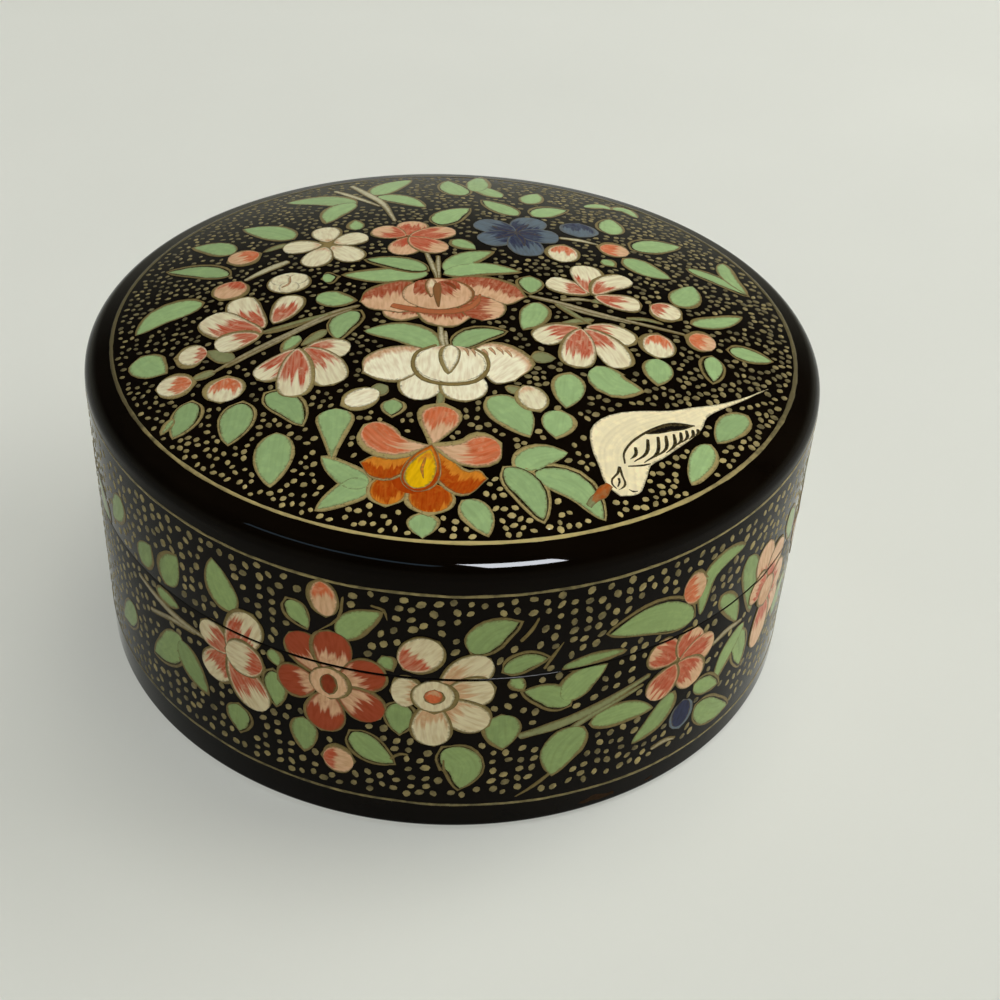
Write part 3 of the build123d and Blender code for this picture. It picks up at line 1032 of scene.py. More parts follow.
def paint_white_lotus(sheet):
    """White lotus below it: two wings, two lower petals, and a heart ringed in khaki with a drop in it."""
    sheet.fresh()
    for start, end, width in (((-2.6, -16.2), (-3.4, -21.7), 4.7), ((1.4, -16.4), (2.2, -21.4), 5.2)):
        sheet.petal(start, end, width, "white", "white", root=0.5, rim=0.24)
    for left, right, reach, side in WHITE_LOTUS_WINGS:
        sheet.wing(left, right, "tan", "white", reach, side, rim=0.26)
    for x, y in ((3.5, -12.1), (4.3, -11.7), (5.2, -11.5), (6.2, -11.9)):
        sheet.ink([(x, y), (x + 0.5, y - 0.6), (x + 0.8, y - 1.3)], [0.5, 0.4, 0.1], "tan")
    sheet.height += sheet.coat
    sheet.petal((0.0, -11.8), (0.0, -18.5), 8.2, "tan", "white", 0.14, root=0.5, tip=0.5, rim=0.0)
    sheet.ink(WHITE_LOTUS_RING, [0.35, 0.5, 0.55, 0.6, 0.55, 0.5, 0.3], "outline", 36)
    sheet.height += sheet.coat
    sheet.petal((-0.1, -11.8), (0.0, -16.8), 1.9, "white", "white", root=0.5, tip=1.0, rim=0.36)
    for x in (1.5, 2.3):
        sheet.ink([(x, -12.2), (x + 0.3, -12.8), (x + 0.5, -13.6)], [0.5, 0.4, 0.1], "tan")


# the same columns for the two side petals of the front flower
ORANGE_FLOWER_WINGS = (
    (((-1.3, -29.2), (-3.4, -32.4), (-5.4, -33.8), (-7.4, -33.4), (-8.5, -31.6)),
     ((-1.3, -29.2), (-3.4, -30.4), (-5.4, -31.0), (-7.2, -30.7), (-8.5, -31.6)), 0.6, "left"),
    (((-0.8, -29.2), (1.0, -30.6), (2.8, -32.2), (4.2, -32.0), (5.1, -33.0)),
     ((-0.8, -29.2), (-0.6, -32.6), (1.4, -35.0), (3.4, -35.1), (5.1, -33.0)), 0.6, "right"),
)
# far end, width and bow of the three clubs, which meet in the middle
ORANGE_FLOWER_CLUBS = (((-8.4, -26.0), 3.9, -0.2), ((-0.2, -22.7), 4.3, 0.0), ((6.2, -28.0), 4.3, 0.16))


def paint_orange_flower(sheet):
    """Front flower: three coral clubs above, orange petals below, and a yellow heart."""
    sheet.fresh()
    sheet.oval((-5.2, -35.3), 3.9, 3.9, "orange", "amber", 0.86, rim=0.34)
    sheet.oval((-0.7, -36.1), 4.7, 3.8, "orange", "amber", 0.86, rim=0.38)
    sheet.oval((-2.7, -33.0), 5.0, 5.4, "orange", "orange", rim=0.0, dry=False)
    for left, right, reach, side in ORANGE_FLOWER_WINGS:
        sheet.wing(left, right, "orange", "amber", reach, side, rim=0.26)
    for start, width, bend in ORANGE_FLOWER_CLUBS:
        sheet.petal(start, (-1.0, -28.9), width, "salmon", "pink", 0.5, bend, root=0.5, tip=1.35, rim=0.42)
    sheet.petal((-1.1, -28.7), (-2.5, -35.3), 4.1, "amber", "orange", 0.5, root=0.9, tip=0.5, rim=0.1)
    sheet.petal((-1.2, -29.4), (-2.5, -34.9), 3.1, "amber", "yellow", 0.3, root=0.9, tip=0.5, rim=0.12)
    sheet.ink([(-1.6, -30.6), (-1.9, -32.2), (-1.6, -33.6)], [0.15, 0.4, 0.3, 0.1], "amber")


BIRD_BACK = (
    (19.4, -33.1), (17.9, -31.8), (17.1, -29.4), (16.2, -26.4), (16.2, -23.6), (18.0, -21.3),
    (21.4, -19.7), (24.8, -18.8), (27.8, -17.3), (30.6, -15.9), (33.4, -14.0), (37.4, -10.4),
)
BIRD_BELLY = (
    (19.4, -33.1), (21.3, -32.4), (22.2, -30.4), (22.7, -28.0), (24.4, -26.3), (26.0, -24.5),
    (27.7, -22.4), (28.9, -20.4), (29.5, -18.5), (31.0, -16.8), (33.6, -14.4), (37.4, -10.4),
)
BIRD_WING = (
    (19.9, -28.4), (19.8, -26.9), (20.5, -25.2), (21.7, -23.7), (23.1, -22.3), (24.7, -21.1), (26.3, -20.6),
    (28.0, -20.4),
)
# the dark band behind the wing, one edge and the other
BIRD_BAND = (
    ((22.2, -23.3), (23.4, -22.2), (25.0, -21.1), (26.6, -20.6), (28.0, -20.4)),
    ((22.2, -23.3), (23.7, -22.9), (25.3, -22.0), (26.7, -21.4), (28.0, -20.4)),
)
# top and bottom of each dark barb of the wing
BIRD_BARBS = (
    (21.1, -25.6, 20.5, -27.6), (22.5, -24.0, 20.9, -27.9), (23.7, -23.3, 22.0, -27.8),
    (24.6, -22.9, 23.3, -26.6), (25.5, -22.4, 24.5, -25.7), (26.3, -21.9, 25.4, -24.5),
    (27.0, -21.4, 26.3, -23.6), (27.7, -21.1, 27.2, -22.8), (28.3, -20.8, 28.0, -21.9),
)
BIRD_EYE = (
    ((19.3, -28.9), (19.1, -30.0), (18.5, -30.9), (18.5, -31.6), (19.0, -32.2)),
    ((19.3, -28.9), (19.6, -30.2), (19.9, -31.0), (19.8, -31.7), (19.2, -32.3)),
    ((19.2, -30.6), (19.3, -31.2), (19.1, -31.9)),
)
BIRD_BEAK = ((18.2, -31.7), (17.2, -33.2), (15.9, -35.1))


def paint_bird(sheet):
    """Cream bird that sits on the right, with a striped wing, an almond eye and an orange beak."""
    sheet.fresh()
    sheet.lay(sheet.flat, between(BIRD_BACK, BIRD_BELLY, 40), paint_of("bird"), rim=0.0)
    sheet.ink(BIRD_WING, [0.2, 0.3, 0.3, 0.3, 0.35, 0.4, 0.4, 0.2], "line", 24)
    sheet.ink([(20.2, -28.7), (21.6, -28.3), (22.8, -27.7)], [0.15, 0.3, 0.15])
    sheet.flat.add(between(*BIRD_BAND, 12), sheet.height + 1.2 * sheet.coat, paint_of("line"))
    for x0, y0, x1, y1 in BIRD_BARBS:
        sheet.ink(bowed((x0, y0), (x1, y1), 0.16), [0.3, 0.46, 0.4, 0.24, 0.1])
    for eyelid in BIRD_EYE:
        sheet.ink(eyelid, [0.3, 0.26, 0.24, 0.1], "line", 12)
    sheet.ink([(20.3, -32.0), (20.8, -32.2), (21.3, -32.0)], [0.1, 0.25, 0.1])
    beak = brush_line(BIRD_BEAK, [0.9, 1.2, 1.3, 1.0, 0.7], 12)
    sheet.petals.add(beak, sheet.height + sheet.coat, paint_of("beak", "calyx", 0.8), wobble=0.08)


# ---- the wall's painting, millimetres along the wall and up it ----

# the same columns as on the lid, here and in the tables of stems and buds
WALL_LEAVES = (
    (-33.4, 25.0, -30.8, 30.4, 3.4, 0.05), (-38.4, 25.0, -36.0, 28.8, 3.0, 0.0),
    (-22.8, 26.9, -25.1, 33.3, 3.9, 0.06), (-31.8, 18.0, -37.6, 11.4, 3.8, 0.08),
    (-31.6, 17.4, -27.6, 11.6, 3.6, -0.06), (-35.3, 22.8, -31.4, 22.6, 1.8, 0.0),
    (-22.9, 12.6, -22.9, 8.4, 3.1, 0.0), (-14.1, 14.7, -14.1, 9.6, 3.0, 0.0),
    (-17.6, 20.4, -17.4, 15.2, 2.6, 0.0), (-17.9, 23.6, -16.9, 21.6, 1.6, 0.0),
    (-15.3, 31.8, -13.2, 28.6, 2.5, 0.0), (-9.6, 28.4, -5.2, 32.8, 2.9, 0.08),
    (4.6, 28.0, 9.4, 32.0, 3.7, 0.12), (8.2, 25.0, 12.8, 26.4, 2.4, 0.1),
    (-4.9, 26.6, -3.9, 24.9, 1.7, 0.0), (-3.0, 20.0, -3.0, 15.2, 3.1, 0.0),
    (-8.3, 14.3, -3.6, 10.4, 3.4, -0.06), (8.3, 18.4, 8.6, 13.2, 4.0, 0.0),
    (16.0, 18.8, 10.6, 21.8, 3.0, -0.08), (15.2, 19.6, 20.0, 23.6, 3.6, 0.1),
    (9.2, 24.0, 10.4, 22.2, 1.4, 0.0), (14.8, 24.5, 22.0, 25.0, 1.3, 0.04),
    (31.4, 25.7, 20.0, 28.0, 4.3, -0.12), (40.4, 29.6, 43.2, 19.8, 3.5, 0.06),
    (36.1, 26.2, 40.2, 20.2, 2.4, 0.06), (18.9, 14.9, 27.0, 14.0, 3.1, 0.08),
    (30.0, 14.8, 24.8, 9.2, 2.9, 0.08), (34.6, 9.8, 41.6, 5.3, 3.7, -0.08),
    (33.6, 13.9, 38.2, 11.3, 2.4, 0.0), (42.0, 18.6, 37.4, 12.2, 2.8, -0.08),
    (41.4, 17.6, 43.0, 11.2, 2.9, 0.0), (17.8, 14.5, 14.6, 7.8, 4.7, -0.12),
    (2.2, 13.3, 4.0, 6.9, 4.3, 0.2), (-42.6, 31.2, -46.0, 26.4, 3.0, 0.05),
    (-42.4, 15.2, -46.8, 10.2, 3.2, 0.08), (-48.2, 24.2, -52.4, 28.6, 3.0, 0.08),
    (51.6, 29.2, 54.0, 23.4, 3.0, 0.05), (52.2, 12.6, 55.6, 17.4, 3.0, 0.08),
)
# points along a loose gold stroke, and its width
WALL_TENDRILS = (
    (((14.8, 8.4), (12.6, 6.4), (10.4, 4.9)), 0.4), (((-4.0, 11.0), (-3.0, 12.0), (-1.9, 12.0)), 0.4),
    (((9.8, 29.2), (10.8, 30.6), (11.6, 32.4)), 0.4), (((-9.1, 34.2), (-9.7, 31.0), (-12.2, 28.4)), 0.3),
    (((12.6, 24.8), (13.4, 26.4), (14.6, 28.4)), 0.35), (((-6.2, 33.6), (-4.8, 33.2), (-4.4, 31.8)), 0.3),
    (((2.0, 11.6), (2.2, 9.8), (2.8, 8.6)), 0.25),
)
WALL_STEMS = (
    (((10.3, 14.8), (17.0, 16.4), (26.0, 19.6)), 1.2, "calyx"),
    (((14.9, 13.5), (19.0, 16.2), (25.2, 18.4)), 0.7, "calyx"),
    (((-39.6, 22.2), (-33.0, 20.8), (-26.2, 20.4)), 0.8, "stem"),
    (((-37.4, 18.4), (-33.0, 19.8), (-28.8, 20.3)), 0.6, "stem"),
    (((35.8, 19.2), (38.4, 19.8), (41.4, 19.6)), 0.7, "stem"),
    (((27.9, 6.6), (29.8, 6.9), (31.6, 6.4)), 0.6, "stem"),
)
WALL_BUDS = (
    (-11.6, 35.6, -11.0, 31.0, 3.0, "salmon", "pink", 0.4),
    (29.4, 30.0, 32.6, 30.6, 4.6, "salmon", "pink", 0.5),
    (-11.8, 9.4, -8.2, 9.5, 4.0, "coral", "pink", 0.4),
    (32.0, 8.2, 32.0, 12.4, 3.1, "navy", "navy", 0.5),
)
# ends of the petals of each flower; the first one's have widths of their own
LEFT_PETALS = (((-27.0, 15.4), 4.4), ((-27.6, 22.8), 4.0), ((-20.0, 27.4), 4.5), ((-19.4, 13.4), 4.9))
MADDER_ENDS = ((-15.3, 27.2), (-10.6, 28.9), (-5.0, 24.8), (-5.2, 17.2), (-11.8, 13.9), (-16.8, 19.7))
CREAM_ENDS = ((-3.9, 21.6), (6.6, 27.0), (7.2, 22.6), (6.7, 17.0), (0.9, 13.9))
RIGHT_ENDS = ((26.0, 23.3), (32.6, 23.7), (35.8, 20.2), (33.6, 14.8), (26.6, 15.4))
FAR_RIGHT_ENDS = ((44.6, 29.0), (50.2, 26.4), (50.8, 15.0), (46.6, 11.6), (52.2, 20.8), (42.8, 23.4))


def paint_wall_leaves(sheet):
    """Leaves, loose strokes and stems of the front of the wall."""
    for x0, y0, x1, y1, width, bend in WALL_LEAVES:
        sheet.leaf((x0, y0), (x1, y1), width, bend, "shaded_wall_leaf")
    shape = blade([(32.5, 25.6), (33.0, 30.6), (35.6, 32.4), (38.9, 32.3)], 2.3, 0.7, 0.7, sheet.rows)
    sheet.lay(sheet.flat, shape, paint_of("shaded_wall_leaf"), rim=0.2)
    for points, width in WALL_TENDRILS:
        sheet.gold.add(brush_line(points, [width, width, width * 0.4], 8), FLOWER_HEIGHT, paint_of("outline"))
    for points, width, pot_name in WALL_STEMS:
        sheet.stem(points, width, pot_name)


def paint_wall_flowers(sheet):
    """Flowers of the front of the wall from left to right, and its buds."""
    sheet.fresh()
    for end, width in LEFT_PETALS:
        sheet.petal((-23.4, 20.3), end, width, "coral", "shaded_wall_cream", 0.66)
    sheet.petal((-19.0, 20.4), (-24.0, 20.7), 4.9, "coral", "shaded_wall_cream", 0.36, root=0.5, rim=0.3)
    sheet.flower((-10.9, 21.3), MADDER_ENDS, 4.5, "pink", "madder", 0.5, start=1.2, rim=0.26)
    sheet.oval((-10.9, 21.3), 4.4, 4.4, "pink", "pink", 0.3)
    sheet.oval((-10.9, 21.2), 1.8, 2.9, "brick", "brick", rim=0.16)
    sheet.flower((0.7, 21.5), CREAM_ENDS, 4.3, "tan", "shaded_wall_cream", 0.5, start=1.0, rim=0.26)
    sheet.petal((-2.6, 25.4), (0.9, 29.4), 4.6, "coral", "shaded_wall_cream", 0.4, root=0.5, rim=0.26)
    sheet.oval((0.7, 21.5), 4.6, 4.5, "shaded_wall_cream", "shaded_wall_cream", rim=0.36)
    sheet.oval((0.7, 21.5), 2.0, 2.0, "tan", "salmon", rim=0.2)
    sheet.flower((29.9, 19.9), RIGHT_ENDS, 4.3, "coral", "pink", 0.75, start=0.4, rim=0.2)
    sheet.flower((46.7, 20.5), FAR_RIGHT_ENDS, 4.4, "coral", "pink", 0.5, rim=0.2)
    sheet.oval((46.9, 20.5), 4.0, 4.2, "pink", "tan", rim=0.3)
    for x0, y0, x1, y1, width, first, second, reach in WALL_BUDS:
        sheet.fresh()
        rim_pot = "slate" if first == "navy" else None
        sheet.petal((x0, y0), (x1, y1), width, first, second, reach,
                    root=0.5, tip=0.5, rim=0.34, rim_pot=rim_pot)


GARLAND_STEP = 16.6  # mm along the hidden back from one flower to the next
GARLAND_START = 63.0
GARLAND_HEIGHT = 20.4
GARLAND_SWAY = 1.6  # how far the flowers lie above that height and below it by turns
GARLAND_PETAL = 6.1
GARLAND_PALETTE = (
    ("coral", "pink", 0.55), ("coral", "shaded_wall_cream", 0.4), ("navy", "slate", 0.5), ("pink", "coral", 0.45),
)


def paint_garland(sheet):
    """The back of the wall, which the photograph doesn't show: the front's motifs in a running row."""
    chance = sheet.chance
    count = int((math.tau * OUTER / MM - 2 * GARLAND_START) / GARLAND_STEP) + 1
    places = [
        (GARLAND_START + i * GARLAND_STEP, GARLAND_HEIGHT + GARLAND_SWAY * (-1) ** i) for i in range(count)
    ]
    for s, z in places:
        garland_leaves(sheet, s, z, chance)
    for (s, z), (s_next, z_next) in zip(places, places[1:]):
        halfway = ((s + s_next) / 2, 2 * GARLAND_HEIGHT - z - 1.4)
        sheet.stem([(s + 3, z - 1), halfway, (s_next - 3, z_next)], 0.8)
    for i, (s, z) in enumerate(places):
        first, second, reach = GARLAND_PALETTE[i % len(GARLAND_PALETTE)]
        petals = 5 + i % 2
        turn = chance.uniform(0, math.tau)
        angles = [turn + math.tau * k / petals for k in range(petals)]
        ends = [(s + GARLAND_PETAL * math.cos(a), z + GARLAND_PETAL * math.sin(a)) for a in angles]
        sheet.flower((s, z), ends, 4.3, first, second, reach, rim=0.24)
        sheet.oval((s, z), 2.0, 2.0, "shaded_wall_cream", "pink", rim=0.24)
        sheet.fresh()
        sheet.petal((s + 8.2, 30.6), (s + 8.6, 34.2), 3.4, "salmon", "pink", 0.5, root=0.52, tip=0.5)
        sheet.petal((s + 7.6, 11.2), (s + 7.4, 7.6), 3.3, "salmon", "shaded_wall_cream", 0.5, root=0.52, tip=0.5)


def garland_leaves(sheet, s, z, chance):
    """Leaves round one flower of the garland."""
    for side, low, high in ((-1, 27.6, 33.0), (1, 27.2, 32.6), (-1, 12.4, 7.0), (1, 13.0, 7.4)):
        lean = chance.uniform(2.2, 3.6) * side
        root = s + 2.2 * side
        width = chance.uniform(3.2, 4.0)
        sheet.leaf((root, low), (root + lean, high), width, chance.uniform(-0.1, 0.1), "shaded_wall_leaf")
    sheet.leaf((s + 8.0, z + 3.4), (s + 8.6, z + 8.0), 2.8, 0.05, "shaded_wall_leaf")
    sheet.leaf((s + 8.0, 18.6), (s + 7.2, 14.2), 2.6, 0.05, "shaded_wall_leaf")


# ---- Geometry Nodes: gold dots and gold lines ----

NOWHERE = (0.0, 0.0, 0.0)
UP = (0.0, 0.0, 1.0)
RANDOM_LOW, RANDOM_HIGH, RANDOM_SEED, RANDOM_RESULT = 2, 3, 8, 1  # float sockets of Random Value
MOST_DOTS = 7.0e6  # on a square metre, before the spacing thins them out
LINE_STEPS = 420  # round the box
BAND_CORNERS = 10  # round a gold line


def new_group(name, inputs):
    """A geometry node group with named inputs, each a kind and a default, and one geometry output."""
    group = bpy.data.node_groups.new(name, "GeometryNodeTree")
    for input_name, (kind, default) in inputs.items():
        socket = group.interface.new_socket(input_name, in_out="INPUT", socket_type="NodeSocket" + kind)
        if default is not None:
            socket.default_value = default
    group.interface.new_socket("Geometry", in_out="OUTPUT", socket_type="NodeSocketGeometry")
    return group, add_node(group, "NodeGroupInput").node.outputs


def end_group(group, geometry, domain, tone, material):
    """Stores the tone of the gold, realises the instances, sets the material and ends the tree."""
    toned = add_node(group, "GeometryNodeStoreNamedAttribute", {
        "Geometry": geometry, "Name": "tone", "Value": tone,
    }, data_type="FLOAT", domain=domain)
    whole = add_node(group, "GeometryNodeRealizeInstances", {"Geometry": toned})
    clad = add_node(group, "GeometryNodeSetMaterial", {"Geometry": whole, "Material": material})
    add_node(group, "NodeGroupOutput", {"Geometry": clad})
    return group


def share_toward(group, direction, *limits):
    """How far each place lies in a direction, over its limits: for size, where the brush gave more paint; for
    tone, where a sheen is painted.
    """
    place = add_node(group, "GeometryNodeInputPosition")
    share = add_node(group, "ShaderNodeVectorMath", (place, direction), "Value", operation="DOT_PRODUCT")
    whole = add_node(group, "ShaderNodeMath", (share, 1.0), operation="ADD")
    return add_node(group, "ShaderNodeMapRange", (whole, *limits))


def make_dot_group():
    """Dabs of gold scattered evenly over a surface, clear of everything painted on it."""
    group, given = new_group("gold_dots", {
        "Geometry": ("Geometry", None), "Dab": ("Object", None), "Painting": ("Object", None),
        "Spacing": ("Float", 1.2 * MM), "Clearance": ("Float", 0.6 * MM), "Dot Length": ("Float", MM),
        "Grain": ("Vector", UP), "Spread": ("Float", 0.8), "Dull Tone": ("Float", 0.2),
        "Larger Toward": ("Vector", NOWHERE), "Fresher Toward": ("Vector", NOWHERE),
        "Seed": ("Int", 1), "Material": ("Material", None),
    })
    scattered = add_node(group, "GeometryNodeDistributePointsOnFaces", {
        "Mesh": given["Geometry"], "Distance Min": given["Spacing"], "Density Max": MOST_DOTS,
        "Seed": given["Seed"],
    }, distribute_method="POISSON").node.outputs
    painting = add_node(group, "GeometryNodeObjectInfo", {"Object": given["Painting"]}, "Geometry")
    distance = add_node(group, "GeometryNodeProximity", (painting,), "Distance")
    close = add_node(group, "FunctionNodeCompare", (distance, given["Clearance"]),
                     data_type="FLOAT", operation="LESS_THAN")
    clear = add_node(group, "GeometryNodeDeleteGeometry", {
        "Geometry": scattered["Points"], "Selection": close,
    }, domain="POINT")

    back = add_node(group, "ShaderNodeMath", (given["Spread"], -1.0), operation="MULTIPLY")
    limits = ((back, given["Spread"]), (0.6, 0.95), (0.75, 1.25), (0.0, 0.3))
    swing, width, stretch, freshness = (
        add_node(group, "FunctionNodeRandomValue", {RANDOM_LOW: low, RANDOM_HIGH: high, RANDOM_SEED: seed},
                 RANDOM_RESULT, data_type="FLOAT")
        for seed, (low, high) in enumerate(limits, 11)
    )
    flat = add_node(group, "FunctionNodeAlignRotationToVector", {"Vector": scattered["Normal"]}, axis="Z")
    along = add_node(group, "FunctionNodeAlignRotationToVector", {
        "Rotation": flat, "Vector": given["Grain"],
    }, axis="Y", pivot_axis="Z")
    swung = add_node(group, "FunctionNodeRotateRotation", {
        "Rotation": along, "Rotate By": add_node(group, "ShaderNodeCombineXYZ", {"Z": swing}),
    }, rotation_space="LOCAL")
    larger = share_toward(group, given["Larger Toward"], 0.7, 1.3, 0.8, 1.2)
    length_here = add_node(group, "ShaderNodeMath", (larger, given["Dot Length"]), operation="MULTIPLY")
    sides = [
        add_node(group, "ShaderNodeMath", (share, length_here), operation="MULTIPLY")
        for share in (width, stretch)
    ]
    placed = add_node(group, "GeometryNodeInstanceOnPoints", {
        "Points": clear, "Rotation": swung,
        "Instance": add_node(group, "GeometryNodeObjectInfo", {
            "Object": given["Dab"], "As Instance": True,
        }, "Geometry"),
        "Scale": add_node(group, "ShaderNodeCombineXYZ", (*sides, 1.0)),
    })
    # painted sheen: the dots' tone rises toward the given side, gold painted brighter where the bronze would
    # catch the light
    painted_sheen = share_toward(group, given["Fresher Toward"], 1.1, 1.3, given["Dull Tone"], 0.75)
    tone = add_node(group, "ShaderNodeMath", (painted_sheen, freshness), operation="ADD")
    return end_group(group, placed, "INSTANCE", tone, given["Material"])


def make_line_group():
    """A hand-drawn gold line round the box: a flat band whose width and height waver."""
    group, given = new_group("gold_line", {
        "Geometry": ("Geometry", None), "Radius": ("Float", 40 * MM), "Height": ("Float", 30 * MM),
        "Width": ("Float", 0.7 * MM), "Thickness": ("Float", 0.1 * MM), "Slope": ("Float", 0.0),
        "Rise": ("Vector", NOWHERE), "Bulge": ("Float", 0.0), "Waver": ("Float", 0.1 * MM),
        "Larger Toward": ("Vector", NOWHERE), "Fresher Toward": ("Vector", NOWHERE),
        "Dull Tone": ("Float", 0.2), "Seed": ("Float", 0.0), "Material": ("Material", None),
    })
    circle = add_node(group, "GeometryNodeCurvePrimitiveCircle", {
        "Resolution": LINE_STEPS, "Radius": given["Radius"],
    })
    spot = add_node(group, "GeometryNodeInputPosition")
    raised, uneven = (
        add_node(group, "ShaderNodeTexNoise", {"Vector": spot, "Scale": scale, "W": given["Seed"]},
                 noise_dimensions="4D")
        for scale in (140.0, 420.0)
    )
    tilt = add_node(group, "ShaderNodeVectorMath", (spot, given["Rise"]), "Value", operation="DOT_PRODUCT")
    for operation, value in (
        ("SUBTRACT", 0.5), ("MULTIPLY", given["Waver"]), ("ADD", given["Height"]), ("ADD", tilt),
    ):
        raised = add_node(group, "ShaderNodeMath", (raised, value), operation=operation)
    side = add_node(group, "ShaderNodeSeparateXYZ", (spot,))
    for operation, value in (("DIVIDE", given["Radius"]), ("POWER", 2.0)):
        side = add_node(group, "ShaderNodeMath", (side, value), operation=operation)
    raised = add_node(group, "ShaderNodeMath", (side, given["Bulge"], raised), operation="MULTIPLY_ADD")
    path = add_node(group, "GeometryNodeSetPosition", {
        "Geometry": circle, "Offset": add_node(group, "ShaderNodeCombineXYZ", {"Z": raised}),
    })

    profile = add_node(group, "GeometryNodeCurvePrimitiveCircle", {"Resolution": BAND_CORNERS, "Radius": 1.0})
    halves = [
        add_node(group, "ShaderNodeMath", (given[name], 0.5), operation="MULTIPLY")
        for name in ("Width", "Thickness")
    ]
    for change, vector in (("Scale", (*halves, 1.0)), ("Rotation", (0.0, 0.0, given["Slope"]))):
        profile = add_node(group, "GeometryNodeTransform", {
            "Geometry": profile, change: add_node(group, "ShaderNodeCombineXYZ", vector),
        })
    uneven = add_node(group, "ShaderNodeMapRange", (uneven, 0.3, 0.7, 0.75, 1.2))
    larger = share_toward(group, given["Larger Toward"], 0.7, 1.3, 0.74, 1.26)
    band = add_node(group, "GeometryNodeCurveToMesh", {
        "Curve": path, "Profile Curve": profile,
        "Scale": add_node(group, "ShaderNodeMath", (uneven, larger), operation="MULTIPLY"),
    })
    # painted sheen: the line's tone rises toward the given side, gold painted brighter where the bronze would
    # catch the light
    painted_sheen = share_toward(group, given["Fresher Toward"], 1.1, 1.3, given["Dull Tone"], 1.0)
    return end_group(group, band, "POINT", painted_sheen, given["Material"])


GROUPS = {"dots": make_dot_group, "line": make_line_group}


@cache
def node_group(kind):
    """The node group of that kind, made once."""
    return GROUPS[kind]()


def grown_by_nodes(name, mesh, kind, values):
    """Runs a node group on a mesh with the given inputs, and returns its result as a plain piece."""
    source = put(name + "_source", mesh)
    group = node_group(kind)
    modifier = source.modifiers.new(kind, "NODES")
    modifier.node_group = group
    keys = {
        item.name: item.identifier for item in group.interface.items_tree
        if item.item_type == "SOCKET" and item.in_out == "INPUT"
    }
    for input_name, value in values.items():
        modifier[keys[input_name]] = value
    bpy.context.view_layer.update()
    evaluated = source.evaluated_get(bpy.context.evaluated_depsgraph_get())
    result = bpy.data.meshes.new_from_object(evaluated)
    result.name = name
    source.modifiers.clear()
    bpy.data.objects.remove(source)
    if not result.polygons:
        raise RuntimeError(f"{name} came out empty")
    result.polygons.foreach_set("use_smooth", [True] * len(result.polygons))
    return put(name, result)


DAB_CORNERS = 8
DAB_SUNK = -0.02 * MM
DAB_HEIGHT = 0.04 * MM


def make_dab():
    """One dab of the brush, one unit long: a low pebble with an uneven edge."""
    chance = random.Random(5)
    points = []
    rings = []
    for radius, z, lopsided in (
        (0.5, DAB_SUNK, 0.12), (0.42, DAB_HEIGHT * 0.6, 0.12), (0.2, DAB_HEIGHT, 0.0),
    ):
        rings.append(range(len(points), len(points) + DAB_CORNERS))
        for k in range(DAB_CORNERS):
            angle = math.tau * k / DAB_CORNERS
            reach = radius * (1 + lopsided * math.sin(2 * angle + 1)) * chance.uniform(0.86, 1.12)
            y = reach * math.sin(angle) * (1.08 - 0.12 * math.sin(angle))
            points.append((reach * math.cos(angle), y, z))
    rings.append([len(points)])
    points.append((0.0, 0.0, DAB_HEIGHT * 1.1))
    underside = list(reversed(rings[0]))
    return put("dab", new_mesh("dab", points, [underside] + faces_between(rings)))


# ---- pieces on their bodies ----

RING_MARGIN = 0.75  # mm inside the gold ring that stays clear of dots
LID_WALL_FIELD = (8, 24.6, 35.2)  # rows of the grid, and its two heights in millimetres
BASE_WALL_FIELD = (12, 5.6, 23.4)
FIELD_COLUMNS = 180
DISC_RINGS = 24
DISC_STEPS = 96

# the painted pieces that the dots of each field keep clear of
painted = {"lid_top": [], "lid_side": [], "base_side": []}


def settle(piece, body, slot_name, *nodes):
    """Ties a finished piece to its body and to the CAD nodes that it stands for, which it hides; slot_name is
    not used.
    """
    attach(piece, body)
    if nodes:
        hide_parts(*nodes)
    return piece


def cut_at_seam(mesh, keep_above):
    """The part of a mesh on one side of the seam, its cut faces closed."""
    gap = settings("board_sizes").seam_edge + settings("paint_sizes").chipped
    height = SEAM + gap if keep_above else SEAM - gap
    part = mesh.copy()
    shell = bmesh.new()
    shell.from_mesh(part)
    cut = bmesh.ops.bisect_plane(
        shell, geom=shell.verts[:] + shell.edges[:] + shell.faces[:], dist=1e-8,
        plane_co=(0, 0, height), plane_no=(0, 0, 1), clear_inner=keep_above, clear_outer=not keep_above,
    )
    edges = [e for e in cut["geom_cut"] if isinstance(e, bmesh.types.BMEdge)]
    bmesh.ops.holes_fill(shell, edges=edges, sides=0)
    bmesh.ops.triangulate(shell, faces=[f for f in shell.faces if len(f.verts) > 4])
    shell.to_mesh(part)
    shell.free()
    return part


def settle_lid_sheet(sheet):
    """Turns the lid's sheet into pieces of the lid."""
    for coat, kind, part in sheet.coats():
        name = "lid_painting_" + part
        painted["lid_top"].append(settle(link(name, coat.mesh(name), kind), "lid", "painted_board"))


def settle_wall_sheet(sheet, prefix):
    """Turns a sheet of the wall into pieces of the lid and of the base, parted at the seam."""
    for coat, kind, part in sheet.coats():
        whole = coat.mesh("whole")
        for body, above in (("lid", True), ("base", False)):
            half = cut_at_seam(whole, above)
            half.name = f"{body}_{prefix}_{part}"
            painted[body + "_side"].append(settle(link(half.name, half, kind), body, "painted_board"))
        bpy.data.meshes.remove(whole)


def joined(name, pieces):
    """One mesh object with the geometry of several pieces, for the dots to keep clear of."""
    shell = bmesh.new()
    for piece in pieces:
        shell.from_mesh(piece.data)
    mesh = bpy.data.meshes.new(name)
    shell.to_mesh(mesh)
    shell.free()
    return put(name, mesh)


